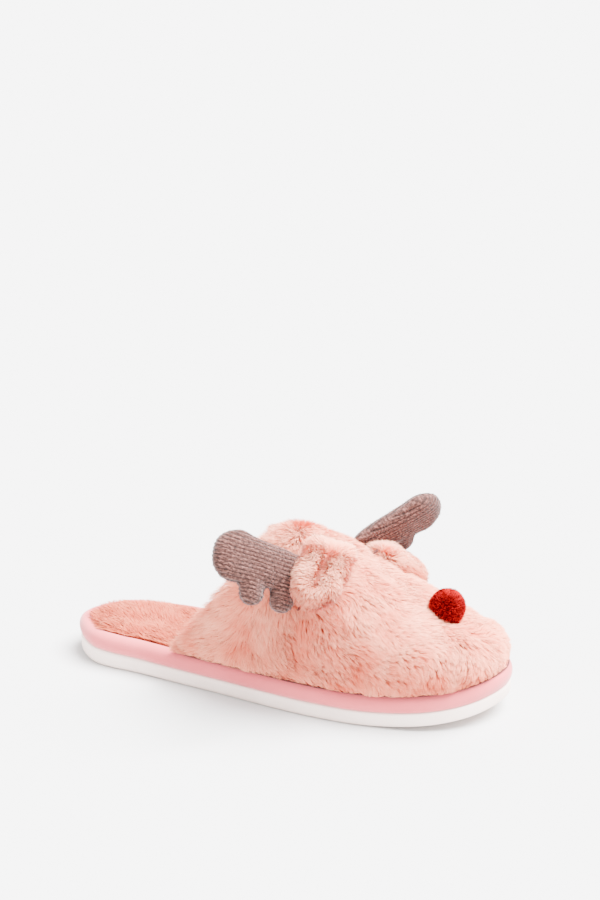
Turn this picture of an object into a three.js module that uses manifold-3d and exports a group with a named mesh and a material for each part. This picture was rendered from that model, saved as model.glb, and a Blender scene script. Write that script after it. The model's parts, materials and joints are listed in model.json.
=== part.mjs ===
// A right-foot, open-back plush slipper with an animal face, as the set of pieces it is sewn and glued from.
// Millimetres. +X towards the toe, +Z up, -Y the outer (little toe) side, origin on the floor under the sole.
import * as THREE from "three";
import { mergeVertices } from "three/addons/utils/BufferGeometryUtils.js";
import Module from "manifold-3d";

const wasm = await Module();
wasm.setup();

// ---- Driving dimensions ----
const GAP = 0.3; // clearance between neighbouring pieces
const LAYER_GAP = 0.7; // clearance between the curved layers of the upper

// Sole outline
const SOLE_LENGTH = 265;
const BALL_WIDTH = 93;
const WAIST_WIDTH = 0.785 * BALL_WIDTH;
const HEEL_WIDTH = 0.7 * BALL_WIDTH;
const TOE_WIDTH = 0.86 * BALL_WIDTH;

// Sole heights
const OUTSOLE_HEEL_THICKNESS = 11.2;
const OUTSOLE_WAIST_THICKNESS = 8.9;
const OUTSOLE_TOE_THICKNESS = 8.3;
const TOE_SPRING = 9.5; // how far the toe end of the outsole lifts off the floor
const HEEL_LIFT = 0.8;
const TREAD_DEPTH = 1.2;
const TREAD_GROOVE_WIDTH = 2.6;
const TREAD_PITCH = 11;
const TREAD_MARGIN = 9; // from the end of a groove to the edge of the sole

// Rand and platform
const RAND_HEIGHT = 10.1; // from the outsole's top to the crown of the roll
const RAND_THICKNESS = 1.2;
const RAND_ROLL_WIDTH = 8.2; // from the sole's outline to the inner lip
const PLATFORM_THICKNESS = 3.5;
const BOARD_THICKNESS = 1.0;
const FOOTBED_FOAM_THICKNESS = 1.5;
const FOOTBED_PLUSH_THICKNESS = 2.6;
const THREAD_RADIUS = 0.4;

// Upper
const FUR_THICKNESS = 6.0;
const VAMP_FOAM_THICKNESS = 1.8;
const LINING_THICKNESS = 1.8;
const TAPE_THICKNESS = 1.2;
const VAMP_INSET = 1.6; // from the sole's outline to the fur's outer face at its base
const VAMP_HEIGHT = 93; // of the ridge above the floor
const VAMP_CORNER_X = -60; // where the foot opening meets the rand
const OPENING_TOP_X = -9; // the top of the foot opening

// Antlers
const ANTLER_LENGTH = 60;
const ANTLER_PALM_RADIUS = 11.5;
const ANTLER_PALM_THICKNESS = 12.5;
const ANTLER_TINE_RADIUS = 7.6;
const ANTLER_TINE_THICKNESS = 11;
const ANTLER_FOOT_RADIUS = 3.8; // rounded about the fold line
const ANTLER_FOOT_WIDTH = 22;
const ANTLER_COVER_THICKNESS = 1.6;

// Ears
const EAR_LENGTH = 42;
const EAR_WIDTH = 24;
const EAR_ROOT_WIDTH = 18;
const EAR_OUTER_THICKNESS = 3.2;
const EAR_INNER_THICKNESS = 1.8;
const EAR_BORDER = 2.5; // fur left round the inner lining
const EAR_ROOT_GAP = 1.5; // from the fold line to the leaf

// Tacks: the stitches that hold antlers and ears
const TACK_RADIUS = 0.6;
const TACK_REACH = 3;

// Nose
const NOSE_RADIUS = 10.3;
const NOSE_SEAT_CLEARANCE = 2.3; // room for the pompom to tilt in its seat
const NOSE_X = 96;
const NOSE_RISE = NOSE_RADIUS - 3.7; // from the fur's surface to the middle of the pompom
const KNOT_RADIUS = 1.4;
const KNOT_HEIGHT = 1.2;

// ---- Mesh density ----
const STEPS_PER_SPAN = 3; // outline points between two control points
const RIBS = 16; // vamp sections from the opening to the toe
const RIB_STEPS = 16; // points across one vamp section

// ---- Materials ----
const finish = (color, roughness) => new THREE.MeshStandardMaterial({ color, roughness, metalness: 0 });
const MATERIALS = {
  foam_white: () => finish("#f1efec", 0.6),
  rand_pink: () => finish("#eeaab0", 0.75),
  platform: () => finish("#e8e2da", 0.8),
  board: () => finish("#b99a72", 0.9),
  foam_pad: () => finish("#f3efe6", 0.85),
  coral_plush: () => finish("#f0a088", 0.95),
  fur: () => finish("#f8cfc4", 0.95),
  lining: () => finish("#f6c3b6", 0.95),
  thread: () => finish("#7a4038", 0.8),
  knit: () => finish("#b08d86", 0.95),
  stuffing: () => finish("#f4f2ee", 1),
  ear_pink: () => finish("#f2a893", 0.95),
  red_yarn: () => finish("#c4001c", 0.95),
};

const slipper = new THREE.Group();

function place(name, geometry, material) {
  const mesh = new THREE.Mesh(geometry, MATERIALS[material]());
  mesh.name = name;
  slipper.add(mesh);
  return mesh;
}

// ---- Booleans ----
function toSolid(geometry) {
  const bare = geometry.clone();
  bare.deleteAttribute("normal");
  bare.deleteAttribute("uv");
  const merged = mergeVertices(bare, 1e-4);
  const vertProperties = new Float32Array(merged.attributes.position.array);
  const triVerts = new Uint32Array(merged.index.array);
  return new wasm.Manifold(new wasm.Mesh({ numProp: 3, vertProperties, triVerts }));
}

function toGeometry(solid) {
  const mesh = solid.getMesh();
  const geometry = new THREE.BufferGeometry();
  geometry.setAttribute("position", new THREE.BufferAttribute(mesh.vertProperties.slice(), 3));
  geometry.setIndex(new THREE.BufferAttribute(mesh.triVerts.slice(), 1));
  return geometry;
}

// ---- Heights along the sole ----
function ramp(value, low, high) {
  const share = THREE.MathUtils.clamp((value - low) / (high - low), 0, 1);
  return share * share;
}

// The outsole's underside: flat from the heel to the ball, with a curved toe spring.
function floorHeight(x) {
  const share = x / SOLE_LENGTH + 0.5;
  return TOE_SPRING * ramp(share, 0.68, 1) + HEEL_LIFT * ramp(-share, -0.1, 0);
}

function outsoleTop(x) {
  const share = x / SOLE_LENGTH + 0.5;
  const heelExtra = (OUTSOLE_HEEL_THICKNESS - OUTSOLE_WAIST_THICKNESS) * ramp(-share, -0.4, 0);
  const toeExtra = (OUTSOLE_TOE_THICKNESS - OUTSOLE_WAIST_THICKNESS) * ramp(share, 0.5, 1);
  return floorHeight(x) + OUTSOLE_WAIST_THICKNESS + heelExtra + toeExtra;
}

// ---- Sole outline ----
// Stations as shares of the length from the middle, with the outer and inner half widths.
const STATIONS = [
  [-0.44, 0.38 * HEEL_WIDTH, 0.4 * HEEL_WIDTH],
  [-0.3, 0.475 * HEEL_WIDTH, 0.525 * HEEL_WIDTH],
  [-0.12, 0.52 * WAIST_WIDTH, 0.47 * WAIST_WIDTH],
  [0.1, 0.5 * BALL_WIDTH, 0.465 * BALL_WIDTH],
  [0.25, 0.5 * BALL_WIDTH, 0.505 * BALL_WIDTH],
  [0.38, 0.49 * TOE_WIDTH, 0.51 * TOE_WIDTH],
  [0.46, 0.3 * TOE_WIDTH, 0.34 * TOE_WIDTH],
];
const HEEL_TIP_Y = -3;
const TOE_TIP_Y = 1;

// Closed loop from the heel tip along the outer side to the toe tip and back, with outward normals.
function makeOutline() {
  const outer = STATIONS.map(([share, width]) => new THREE.Vector3(share * SOLE_LENGTH, -width, 0));
  const inner = STATIONS.map(([share, , width]) => new THREE.Vector3(share * SOLE_LENGTH, width, 0));
  const heelTip = new THREE.Vector3(-SOLE_LENGTH / 2, HEEL_TIP_Y, 0);
  const toeTip = new THREE.Vector3(SOLE_LENGTH / 2, TOE_TIP_Y, 0);
  const controls = [heelTip, ...outer, toeTip, ...inner.reverse()];
  const curve = new THREE.CatmullRomCurve3(controls, true, "centripetal");
  const count = controls.length * STEPS_PER_SPAN;
  return Array.from({ length: count }, (_, i) => {
    const point = curve.getPoint(i / count);
    const tangent = curve.getTangent(i / count);
    return { x: point.x, y: point.y, nx: tangent.y, ny: -tangent.x };
  });
}
const OUTLINE = makeOutline();
const COUNT = OUTLINE.length;
const TOE_INDEX = COUNT / 2;

function insetPoint(index, inset) {
  const p = OUTLINE[(index + COUNT) % COUNT];
  return new THREE.Vector2(p.x - p.nx * inset, p.y - p.ny * inset);
}

// One closed loop at an inset, at heightAt(x) above the floor.
function soleLoop(inset, heightAt) {
  return OUTLINE.map((_, i) => {
    const p = insetPoint(i, inset);
    return new THREE.Vector3(p.x, p.y, heightAt(p.x));
  });
}
const aboveOutsole = (rise) => (x) => outsoleTop(x) + rise;

// Skins loops into a solid. A slab is capped by strips that join its outer and inner side at each station; a
// ring's last loop meets its first.
function skinLoops(loops, isRing) {
  const positions = loops.flat().flatMap((p) => [p.x, p.y, p.z]);
  const faces = [];
  const rows = isRing ? loops.length : loops.length - 1;
  for (let k = 0; k < rows; k++) {
    const low = k * COUNT;
    const high = ((k + 1) % loops.length) * COUNT;
    for (let i = 0; i < COUNT; i++) {
      const j = (i + 1) % COUNT;
      faces.push(low + i, low + j, high + j, low + i, high + j, high + i);
    }
  }
  if (!isRing) {
    faces.push(...ladder(0).reverse(), ...ladder((loops.length - 1) * COUNT));
  }
  return indexed(positions, faces);
}

function ladder(base) {
  const faces = [];
  for (let i = 0; i < TOE_INDEX; i++) {
    const [a, b] = [i, i + 1];
    const [c, d] = [COUNT - i - 1, (COUNT - i) % COUNT];
    if (b !== c) faces.push(base + a, base + b, base + c);
    if (d !== a) faces.push(base + a, base + c, base + d);
  }
  return faces;
}

function indexed(positions, faces) {
  const geometry = new THREE.BufferGeometry();
  geometry.setAttribute("position", new THREE.Float32BufferAttribute(positions, 3));
  geometry.setIndex(faces);
  return geometry;
}

// ---- Sole unit ----
function treadGrooves() {
  const first = -0.4 * SOLE_LENGTH;
  const last = 0.16 * SOLE_LENGTH;
  const count = Math.floor((last - first) / TREAD_PITCH) + 1;
  return Array.from({ length: count }, (_, i) => {
    const x = first + i * TREAD_PITCH;
    const near = OUTLINE.slice(0, TOE_INDEX).filter((p) => Math.abs(p.x - x) < TREAD_PITCH);
    const far = OUTLINE.slice(TOE_INDEX).filter((p) => Math.abs(p.x - x) < TREAD_PITCH);
    const low = Math.max(...near.map((p) => p.y)) + TREAD_MARGIN;
    const high = Math.min(...far.map((p) => p.y)) - TREAD_MARGIN;
    const groove = new THREE.BoxGeometry(TREAD_GROOVE_WIDTH, high - low, 2 * TREAD_DEPTH);
    return groove.translate(x, (low + high) / 2, floorHeight(x));
  });
}

function outsole() {
  const edge = 1.2;
  const slab = skinLoops([
    soleLoop(2 * edge, floorHeight),
    soleLoop(edge / 2, (x) => floorHeight(x) + edge),
    soleLoop(0, (x) => floorHeight(x) + 2.5 * edge),
    soleLoop(0, aboveOutsole(-edge / 2)),
    soleLoop(edge / 2, aboveOutsole(0)),
  ], false);
  return toGeometry(treadGrooves().reduce((body, cut) => body.subtract(toSolid(cut)), toSolid(slab)));
}

// The rand's outer face from the turned-in hem, round the platform's edge and over the roll to the inner lip:
// pairs of inset from the outline and rise above the outsole.
const RAND_PATH = [
  [RAND_ROLL_WIDTH + 0.6, GAP],
  [0.8, GAP],
  [-0.3, 0.2 * RAND_HEIGHT],
  [-0.8, 0.48 * RAND_HEIGHT],
  [0.1, 0.78 * RAND_HEIGHT],
  [2.0, 0.95 * RAND_HEIGHT],
  [4.6, RAND_HEIGHT],
  [7.0, 0.93 * RAND_HEIGHT],
  [RAND_ROLL_WIDTH, 0.77 * RAND_HEIGHT],
];

// A path moved to its inner side by a distance, along the mean normal of its two edges.
function offsetPath(path, distance) {
  return path.map(([inset, rise], i) => {
    const [i0, r0] = path[Math.max(i - 1, 0)];
    const [i1, r1] = path[Math.min(i + 1, path.length - 1)];
    const length = Math.hypot(i1 - i0, r1 - r0);
    return [inset + ((r1 - r0) / length) * distance, rise - ((i1 - i0) / length) * distance];
  });
}

const pathLoops = (path) => path.map(([inset, rise]) => soleLoop(inset, aboveOutsole(rise)));

function randWrap() {
  const inside = offsetPath(RAND_PATH, RAND_THICKNESS).reverse();
  return skinLoops(pathLoops([...RAND_PATH, ...inside]), true);
}

const FOOTBED_INSET = RAND_ROLL_WIDTH + 2 * THREAD_RADIUS + 4 * GAP; // the layers inside the rand's lip
const PLATFORM_TOP = GAP + PLATFORM_THICKNESS;

function platformFoam() {
  const hemEnd = RAND_ROLL_WIDTH + 0.6 + GAP;
  const rim = offsetPath(RAND_PATH, RAND_THICKNESS + GAP).slice(1, -1);
  const path = [[hemEnd, GAP], [hemEnd, RAND_THICKNESS + 2 * GAP], ...rim, [hemEnd - GAP, PLATFORM_TOP]];
  return skinLoops(pathLoops(path), false);
}

function footbedLayer(bottom, thickness, crown) {
  const top = bottom + thickness;
  return skinLoops(pathLoops([
    [FOOTBED_INSET, bottom],
    [FOOTBED_INSET, top - crown],
    [FOOTBED_INSET + crown, top],
  ]), false);
}

const BOARD_BOTTOM = PLATFORM_TOP + GAP;
const PAD_BOTTOM = BOARD_BOTTOM + BOARD_THICKNESS + GAP;
const PLUSH_BOTTOM = PAD_BOTTOM + FOOTBED_FOAM_THICKNESS + GAP;
const PLUSH_TOP = PLUSH_BOTTOM + FOOTBED_PLUSH_THICKNESS;

// The section of a thread at an inset and a rise, as a six-sided path.
function threadPath(inset, rise) {
  return Array.from({ length: 6 }, (_, i) => {
    const angle = (Math.PI * i) / 3;
    return [inset - THREAD_RADIUS * Math.sin(angle), rise - THREAD_RADIUS * Math.cos(angle)];
  });
}

// A thread along part of the outline, from one index to another.
function openThread(inset, rise, from, to) {
  const loops = pathLoops(threadPath(inset, rise));
  const rings = [];
  for (let i = from; i <= to; i++) {
    rings.push(loops.map((loop) => loop[i % COUNT]));
  }
  return skinRings(rings.reverse());
}

place("outsole", outsole(), "foam_white");
place("platform_foam", platformFoam(), "platform");
place("rand_wrap", randWrap(), "rand_pink");
place("insole_board", footbedLayer(BOARD_BOTTOM, BOARD_THICKNESS, 0.2), "board");
place("footbed_foam", footbedLayer(PAD_BOTTOM, FOOTBED_FOAM_THICKNESS, 0.4), "foam_pad");
place("footbed_plush", footbedLayer(PLUSH_BOTTOM, FOOTBED_PLUSH_THICKNESS, 1.2), "coral_plush");
const footbedSeamInset = (RAND_ROLL_WIDTH + FOOTBED_INSET) / 2;
const footbedSeam = skinLoops(pathLoops(threadPath(footbedSeamInset, 0.7 * RAND_HEIGHT)), true);
place("footbed_seam_thread", footbedSeam, "thread");

// ---- Upper ----
// The ridge from the top of the foot opening over the crown and down to the toe: x, and height as a share of
// the way from the rand's top at the toe to the full height.
const TOE_END = outsoleTop(SOLE_LENGTH / 2) + RAND_HEIGHT + GAP;
const RIDGE_SHARES = [
  [OPENING_TOP_X, 0.923],
  [OPENING_TOP_X + 13, 1],
  [OPENING_TOP_X + 28, 0.946],
  [0.17 * SOLE_LENGTH, 0.753],
  [0.29 * SOLE_LENGTH, 0.491],
  [0.38 * SOLE_LENGTH, 0.321],
  [0.445 * SOLE_LENGTH, 0.213],
  [0.48 * SOLE_LENGTH, 0.074],
  [SOLE_LENGTH / 2 - VAMP_INSET, 0],
];
const ridgeKnot = ([x, share]) => new THREE.Vector3(x, 0, TOE_END + share * (VAMP_HEIGHT - TOE_END));
const RIDGE = new THREE.CatmullRomCurve3(RIDGE_SHARES.map(ridgeKnot), false, "centripetal");

// Where on the outline, as a fractional index, the upper begins.
function cornerIndex() {
  const next = OUTLINE.findIndex((p) => p.x > VAMP_CORNER_X);
  const [before, after] = [OUTLINE[next - 1].x, OUTLINE[next].x];
  return next - 1 + (VAMP_CORNER_X - before) / (after - before);
}
const CORNER_INDEX = cornerIndex();

function ridgePoint(share, inset) {
  const point = RIDGE.getPoint(share);
  const tangent = RIDGE.getTangent(share);
  return new THREE.Vector3(point.x + tangent.z * inset, 0, point.z - tangent.x * inset);
}

// Height of a vamp layer's lower edge over the outsole: it stands on the rand's roll or on the footbed.
const VAMP_BASE = Math.max(RAND_HEIGHT, PLUSH_TOP) + 2 * GAP;

function basePoint(index, inset) {
  const p = insetPoint(index, VAMP_INSET + inset);
  return new THREE.Vector3(p.x, p.y, outsoleTop(p.x) + VAMP_BASE);
}

// One face of the upper at an inset: ribs from the foot opening to the toe. A rib joins the outer base, the
// ridge and the inner base by two superellipse quarters, so the side walls stand nearly upright.
const SIDE_FULLNESS = 0.8;
const CROWN_FULLNESS = 0.88;
// Of the last ribs, where the ridge runs down to the toe. Each further inset keeps under the one outside it.
const LEAST_ARCH = 1;
const ARCH_DROP = 0.06;

// The point of that face at a share of the way to the toe, and at an angle across: 0 at the outer base, 90 at
// the ridge, 180 at the inner base.
function vampPoint(inset, share, degrees) {
  const index = CORNER_INDEX + share * (TOE_INDEX - CORNER_INDEX);
  const outer = baseBetween(index, inset, 1);
  const inner = baseBetween(index, inset, -1);
  const foot = outer.clone().add(inner).multiplyScalar(0.5);
  const crest = ridgePoint(share, inset);
  crest.y = foot.y;
  crest.z = Math.max(crest.z, foot.z + LEAST_ARCH - ARCH_DROP * inset);
  const angle = THREE.MathUtils.degToRad(degrees);
  const across = Math.abs(Math.cos(angle)) ** SIDE_FULLNESS;
  const up = Math.abs(Math.sin(angle)) ** CROWN_FULLNESS;
  return foot.clone()
    .add((degrees < 90 ? outer : inner).sub(foot).multiplyScalar(across))
    .add(crest.sub(foot).multiplyScalar(degrees % 180 === 0 ? 0 : up));
}

function baseBetween(index, inset, side) {
  const low = Math.floor(index);
  const at = (i) => basePoint(side > 0 ? i : COUNT - i, inset);
  return at(low).lerp(at(Math.min(low + 1, TOE_INDEX)), index - low);
}

function vampRib(inset, share) {
  return Array.from({ length: RIB_STEPS + 1 }, (_, i) => vampPoint(inset, share, (180 * i) / RIB_STEPS));
}

// A place on the fur, stood off from it, with the directions out of it, down its side and forward along it.
function furFrame(share, degrees, standoff) {
  const point = vampPoint(0, share, degrees);
  const step = 0.01;
  const along = vampPoint(0, share + step, degrees).sub(point);
  const across = vampPoint(0, share, degrees + 100 * step).sub(point);
  const out = along.clone().cross(across).normalize();
  const down = across.normalize().multiplyScalar(degrees < 90 ? -1 : 1);
  const forward = out.clone().cross(down).multiplyScalar(degrees < 90 ? 1 : -1);
  return { point: point.addScaledVector(out, standoff), out, down, forward };
}

// A shell between two faces of the upper, open at the foot opening and underneath.
function vampShell(outerInset, thickness) {
  const faces = [];
  const positions = [];
  const width = RIB_STEPS + 1;
  const skins = [outerInset, outerInset + thickness].map((inset) => {
    const start = positions.length / 3;
    for (let k = 0; k < RIBS; k++) {
      vampRib(inset, k / RIBS).forEach((p) => positions.push(p.x, p.y, p.z));
    }
    const tip = basePoint(TOE_INDEX, inset);
    positions.push(tip.x, tip.y, tip.z);
    return { at: (k, i) => (k < RIBS ? start + k * width + i : start + RIBS * width) };
  });
  const quad = (a, b, c, d) => {
    if (a !== b) faces.push(a, b, c);
    if (c !== d) faces.push(a, c, d);
  };
  const [out, into] = skins;
  for (let k = 0; k < RIBS; k++) {
    for (let i = 0; i < RIB_STEPS; i++) {
      quad(out.at(k, i), out.at(k + 1, i), out.at(k + 1, i + 1), out.at(k, i + 1));
      quad(into.at(k, i + 1), into.at(k + 1, i + 1), into.at(k + 1, i), into.at(k, i));
    }
    quad(out.at(k, 0), into.at(k, 0), into.at(k + 1, 0), out.at(k + 1, 0));
    const last = RIB_STEPS;
    quad(out.at(k + 1, last), into.at(k + 1, last), into.at(k, last), out.at(k, last));
  }
  for (let i = 0; i < RIB_STEPS; i++) {
    quad(out.at(0, i), out.at(0, i + 1), into.at(0, i + 1), into.at(0, i));
  }
  return indexed(positions, faces);
}

// Joins equal rings of points into a bar with flat ends.
function skinRings(rings) {
  const size = rings[0].length;
  const faces = [];
  for (let k = 0; k + 1 < rings.length; k++) {
    for (let i = 0; i < size; i++) {
      const [a, b] = [k * size + i, k * size + ((i + 1) % size)];
      faces.push(a, b, b + size, a, b + size, a + size);
    }
  }
  const last = (rings.length - 1) * size;
  for (let i = 1; i + 1 < size; i++) {
    faces.push(0, i + 1, i, last, last + i, last + i + 1);
  }
  return indexed(rings.flat().flatMap((p) => [p.x, p.y, p.z]), faces);
}

// A flat tape behind the cut edges of the foam and the lining, along the whole foot opening.
function toplineTape(outerInset, innerInset) {
  const rise = VAMP_HEIGHT - baseBetween(CORNER_INDEX, 0, 1).z;
  const slope = new THREE.Vector2(OPENING_TOP_X - VAMP_CORNER_X, rise);
  const rearward = new THREE.Vector3(-slope.y, 0, slope.x).normalize();
  const shifted = (points, distance) => points.map((p) => p.clone().addScaledVector(rearward, distance));
  const outer = vampRib(outerInset, 0);
  const inner = vampRib(innerInset, 0);
  const edges = [
    shifted(outer, 2 * GAP), shifted(inner, 2 * GAP),
    shifted(inner, 2 * GAP + TAPE_THICKNESS), shifted(outer, 2 * GAP + TAPE_THICKNESS),
  ];
  return skinRings(outer.map((_, i) => edges.map((edge) => edge[i])));
}

// The pompom's seat: the point of the ridge under it, and the way out of the fur there.
function noseSeat() {
  let share = 0;
  while (RIDGE.getPoint(share).x < NOSE_X - NOSE_RISE / 2) share += 0.001;
  const tangent = RIDGE.getTangent(share);
  const out = new THREE.Vector3(-tangent.z, 0, tangent.x);
  return { out, centre: RIDGE.getPoint(share).addScaledVector(out, NOSE_RISE) };
}

const SEAT = noseSeat();
const furShell = toSolid(vampShell(0, FUR_THICKNESS));
const seatCut = new THREE.SphereGeometry(NOSE_RADIUS + NOSE_SEAT_CLEARANCE, 16, 10);
seatCut.translate(...SEAT.centre);
const FOAM_INSET = FUR_THICKNESS + LAYER_GAP;
const LINING_INSET = FOAM_INSET + VAMP_FOAM_THICKNESS + LAYER_GAP;
place("vamp_fur", toGeometry(furShell.subtract(toSolid(seatCut))), "fur");
place("vamp_foam", vampShell(FOAM_INSET, VAMP_FOAM_THICKNESS), "foam_pad");
place("vamp_lining", vampShell(LINING_INSET, LINING_THICKNESS), "lining");
place("topline_tape", toplineTape(FUR_THICKNESS / 2, LINING_INSET + LINING_THICKNESS), "lining");
const seamStart = Math.ceil(CORNER_INDEX);
const upperSeam = openThread(THREAD_RADIUS, RAND_HEIGHT, seamStart, COUNT - seamStart);
place("upper_seam_thread", upperSeam, "thread");

// ---- Nose ----
const toSeat = new THREE.Quaternion().setFromUnitVectors(new THREE.Vector3(0, 1, 0), SEAT.out);
const pompom = place("nose_pompom", new THREE.SphereGeometry(NOSE_RADIUS, 16, 10), "red_yarn");
pompom.position.copy(SEAT.centre);
const knotForm = new THREE.CylinderGeometry(KNOT_RADIUS, KNOT_RADIUS, KNOT_HEIGHT, 12);
const knot = place("nose_tie", knotForm, "thread");
knot.quaternion.copy(toSeat);
knot.position.copy(SEAT.centre).addScaledVector(SEAT.out, -(NOSE_RADIUS + GAP + KNOT_HEIGHT / 2));

// ---- Parts sewn on at a fold line ----
// A frame at the middle of the fold line: X towards the tip, Y along the fold line. A seam gives both
// directions by their parts out of the fur, down its side and forward along it.
function foldFrame({ share, degrees, standoff, towardsTip, alongFold }) {
  const seat = furFrame(share, degrees, standoff);
  const direction = ([out, down, forward]) => new THREE.Vector3()
    .addScaledVector(seat.out, out)
    .addScaledVector(seat.down, down)
    .addScaledVector(seat.forward, forward);
  const x = direction(towardsTip).normalize();
  const y = direction(alongFold);
  y.addScaledVector(x, -y.dot(x)).normalize();
  const z = new THREE.Vector3().crossVectors(x, y);
  return new THREE.Matrix4().makeBasis(x, y, z).setPosition(seat.point);
}

function placeInFrame(name, geometry, material, frame) {
  place(name, geometry, material).applyMatrix4(frame);
}

// A round-ended lobe between two points of the XY plane, flattened to a thickness.
function lobe([x0, y0], [x1, y1], radius, thickness) {
  const capsule = new THREE.CapsuleGeometry(radius, Math.hypot(x1 - x0, y1 - y0), 4, 12);
  capsule.scale(1, 1, thickness / (2 * radius));
  capsule.rotateZ(Math.atan2(y1 - y0, x1 - x0) - Math.PI / 2);
  capsule.translate((x0 + x1) / 2, (y0 + y1) / 2, 0);
  return toSolid(capsule);
}

// ---- Antlers ----
// Palm, two tines and a foot rounded about the fold line, all drawn in by a wall.
function antlerBody(wall) {
  const palm = ANTLER_PALM_RADIUS - wall;
  const tine = ANTLER_TINE_RADIUS - wall;
  const foot = ANTLER_FOOT_RADIUS - wall;
  const palmEnd = ANTLER_LENGTH - ANTLER_PALM_RADIUS;
  const footEnd = ANTLER_FOOT_WIDTH / 2 - ANTLER_FOOT_RADIUS;
  const tineThickness = ANTLER_TINE_THICKNESS - 2 * wall;
  const frontTine = [0.2 * ANTLER_LENGTH, 0.2 * ANTLER_LENGTH];
  const rearTine = [0.52 * ANTLER_LENGTH, 0.17 * ANTLER_LENGTH];
  const palmStart = ANTLER_PALM_RADIUS - 0.7 * ANTLER_FOOT_RADIUS;
  return lobe([palmStart, -0.04 * ANTLER_LENGTH], [palmEnd, 0], palm, ANTLER_PALM_THICKNESS - 2 * wall)
    .add(lobe([frontTine[0], 0], frontTine, tine, tineThickness))
    .add(lobe([0.58 * ANTLER_LENGTH, 0], rearTine, tine, tineThickness))
    .add(lobe([0, -footEnd], [0, footEnd], foot, 2 * foot));
}

function antlerCover() {
  const mouth = new THREE.BoxGeometry(2 * ANTLER_FOOT_RADIUS, ANTLER_FOOT_WIDTH / 2, ANTLER_FOOT_RADIUS);
  mouth.translate(-ANTLER_FOOT_RADIUS, 0, 0);
  return toGeometry(antlerBody(0).subtract(antlerBody(ANTLER_COVER_THICKNESS)).subtract(toSolid(mouth)));
}

// A stitch that stands at one end of a fold line.
function tack(offset, reach) {
  const rod = new THREE.CapsuleGeometry(TACK_RADIUS, reach, 3, 8);
  return rod.rotateZ(Math.PI / 2).translate(0, offset, 0);
}

const ANTLER_SEAM = { share: 0.272, standoff: ANTLER_FOOT_RADIUS + 2 * GAP };
const ANTLER_TACK_OFFSET = ANTLER_FOOT_WIDTH / 2 + TACK_RADIUS + 2 * GAP;
const ANTLERS = {
  antler_right: { ...ANTLER_SEAM, degrees: 50, towardsTip: [0.64, 0.0, -0.77], alongFold: [0, 1, -0.13] },
  antler_left: { ...ANTLER_SEAM, degrees: 133, towardsTip: [0.72, -0.05, 0.69], alongFold: [0, 0.97, -0.25] },
};
for (const [name, seam] of Object.entries(ANTLERS)) {
  const frame = foldFrame(seam);
  placeInFrame(name + "_cover", antlerCover(), "knit", frame);
  placeInFrame(name + "_filling", toGeometry(antlerBody(ANTLER_COVER_THICKNESS + GAP)), "stuffing", frame);
  placeInFrame(name + "_tack", tack(ANTLER_TACK_OFFSET, TACK_REACH), "thread", frame);
}

// ---- Ears ----
// A leaf from the fold line to a rounded tip, drawn in by a border.
function earLeaf(border, bottom, thickness) {
  const start = EAR_ROOT_GAP + border / 2;
  const root = EAR_ROOT_WIDTH / 2 - border;
  const side = EAR_WIDTH / 2 - border;
  const tip = EAR_LENGTH - border;
  const leaf = new THREE.Shape();
  leaf.moveTo(start, -root);
  leaf.bezierCurveTo(0.3 * tip, -side, 0.4 * tip, -side, 0.55 * tip, -side);
  leaf.bezierCurveTo(0.85 * tip, -side, tip, -0.55 * side, tip, 0);
  leaf.bezierCurveTo(tip, 0.55 * side, 0.85 * tip, side, 0.55 * tip, side);
  leaf.bezierCurveTo(0.4 * tip, side, 0.3 * tip, side, start, root);
  leaf.closePath();
  const bevel = 0.25 * thickness;
  const geometry = new THREE.ExtrudeGeometry(leaf, {
    depth: thickness - 2 * bevel,
    curveSegments: 6,
    bevelThickness: bevel,
    bevelSize: bevel,
    bevelOffset: -bevel,
    bevelSegments: 2,
  });
  return geometry.translate(0, 0, bottom + bevel);
}

const EAR_SEAM = { standoff: 8 };
// The end of each ear's fold line that is away from its antler.
const EAR_TACK_END = { ear_right: 1, ear_left: -1 };
const EARS = {
  ear_right: {
    ...EAR_SEAM, share: 0.325, degrees: 72, towardsTip: [0.17, 0.98, 0.0], alongFold: [0.2, 0, 0.97],
  },
  ear_left: {
    ...EAR_SEAM, share: 0.335, degrees: 109, towardsTip: [0.14, 0.66, 0.73], alongFold: [0, 0.55, -0.83],
  },
};
const earStack = EAR_OUTER_THICKNESS + GAP + EAR_INNER_THICKNESS;
for (const [name, seam] of Object.entries(EARS)) {
  const frame = foldFrame(seam);
  const innerBottom = earStack / 2 - EAR_INNER_THICKNESS;
  placeInFrame(name + "_outer", earLeaf(0, -earStack / 2, EAR_OUTER_THICKNESS), "fur", frame);
  placeInFrame(name + "_inner", earLeaf(EAR_BORDER, innerBottom, EAR_INNER_THICKNESS), "ear_pink", frame);
  const tackOffset = EAR_TACK_END[name] * (EAR_ROOT_WIDTH / 2 + TACK_RADIUS + 4 * GAP);
  placeInFrame(name + "_tack", tack(tackOffset, TACK_REACH / 2), "thread", frame);
}

export default slipper;
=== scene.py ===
"""Looks of a right-foot plush slipper with an animal face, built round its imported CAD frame.

The frame is +X towards the toe, +Z up, -Y the outer side, with the floor at z = 0. Sizes below are in
millimetres and become metres where a mesh is made. Each piece is a numpy surface over the CAD solid that it
stands for. The antlers, the ears and their stitches are shifted a little from their solids, by the tables below.
"""
import itertools
import json
import math

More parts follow.
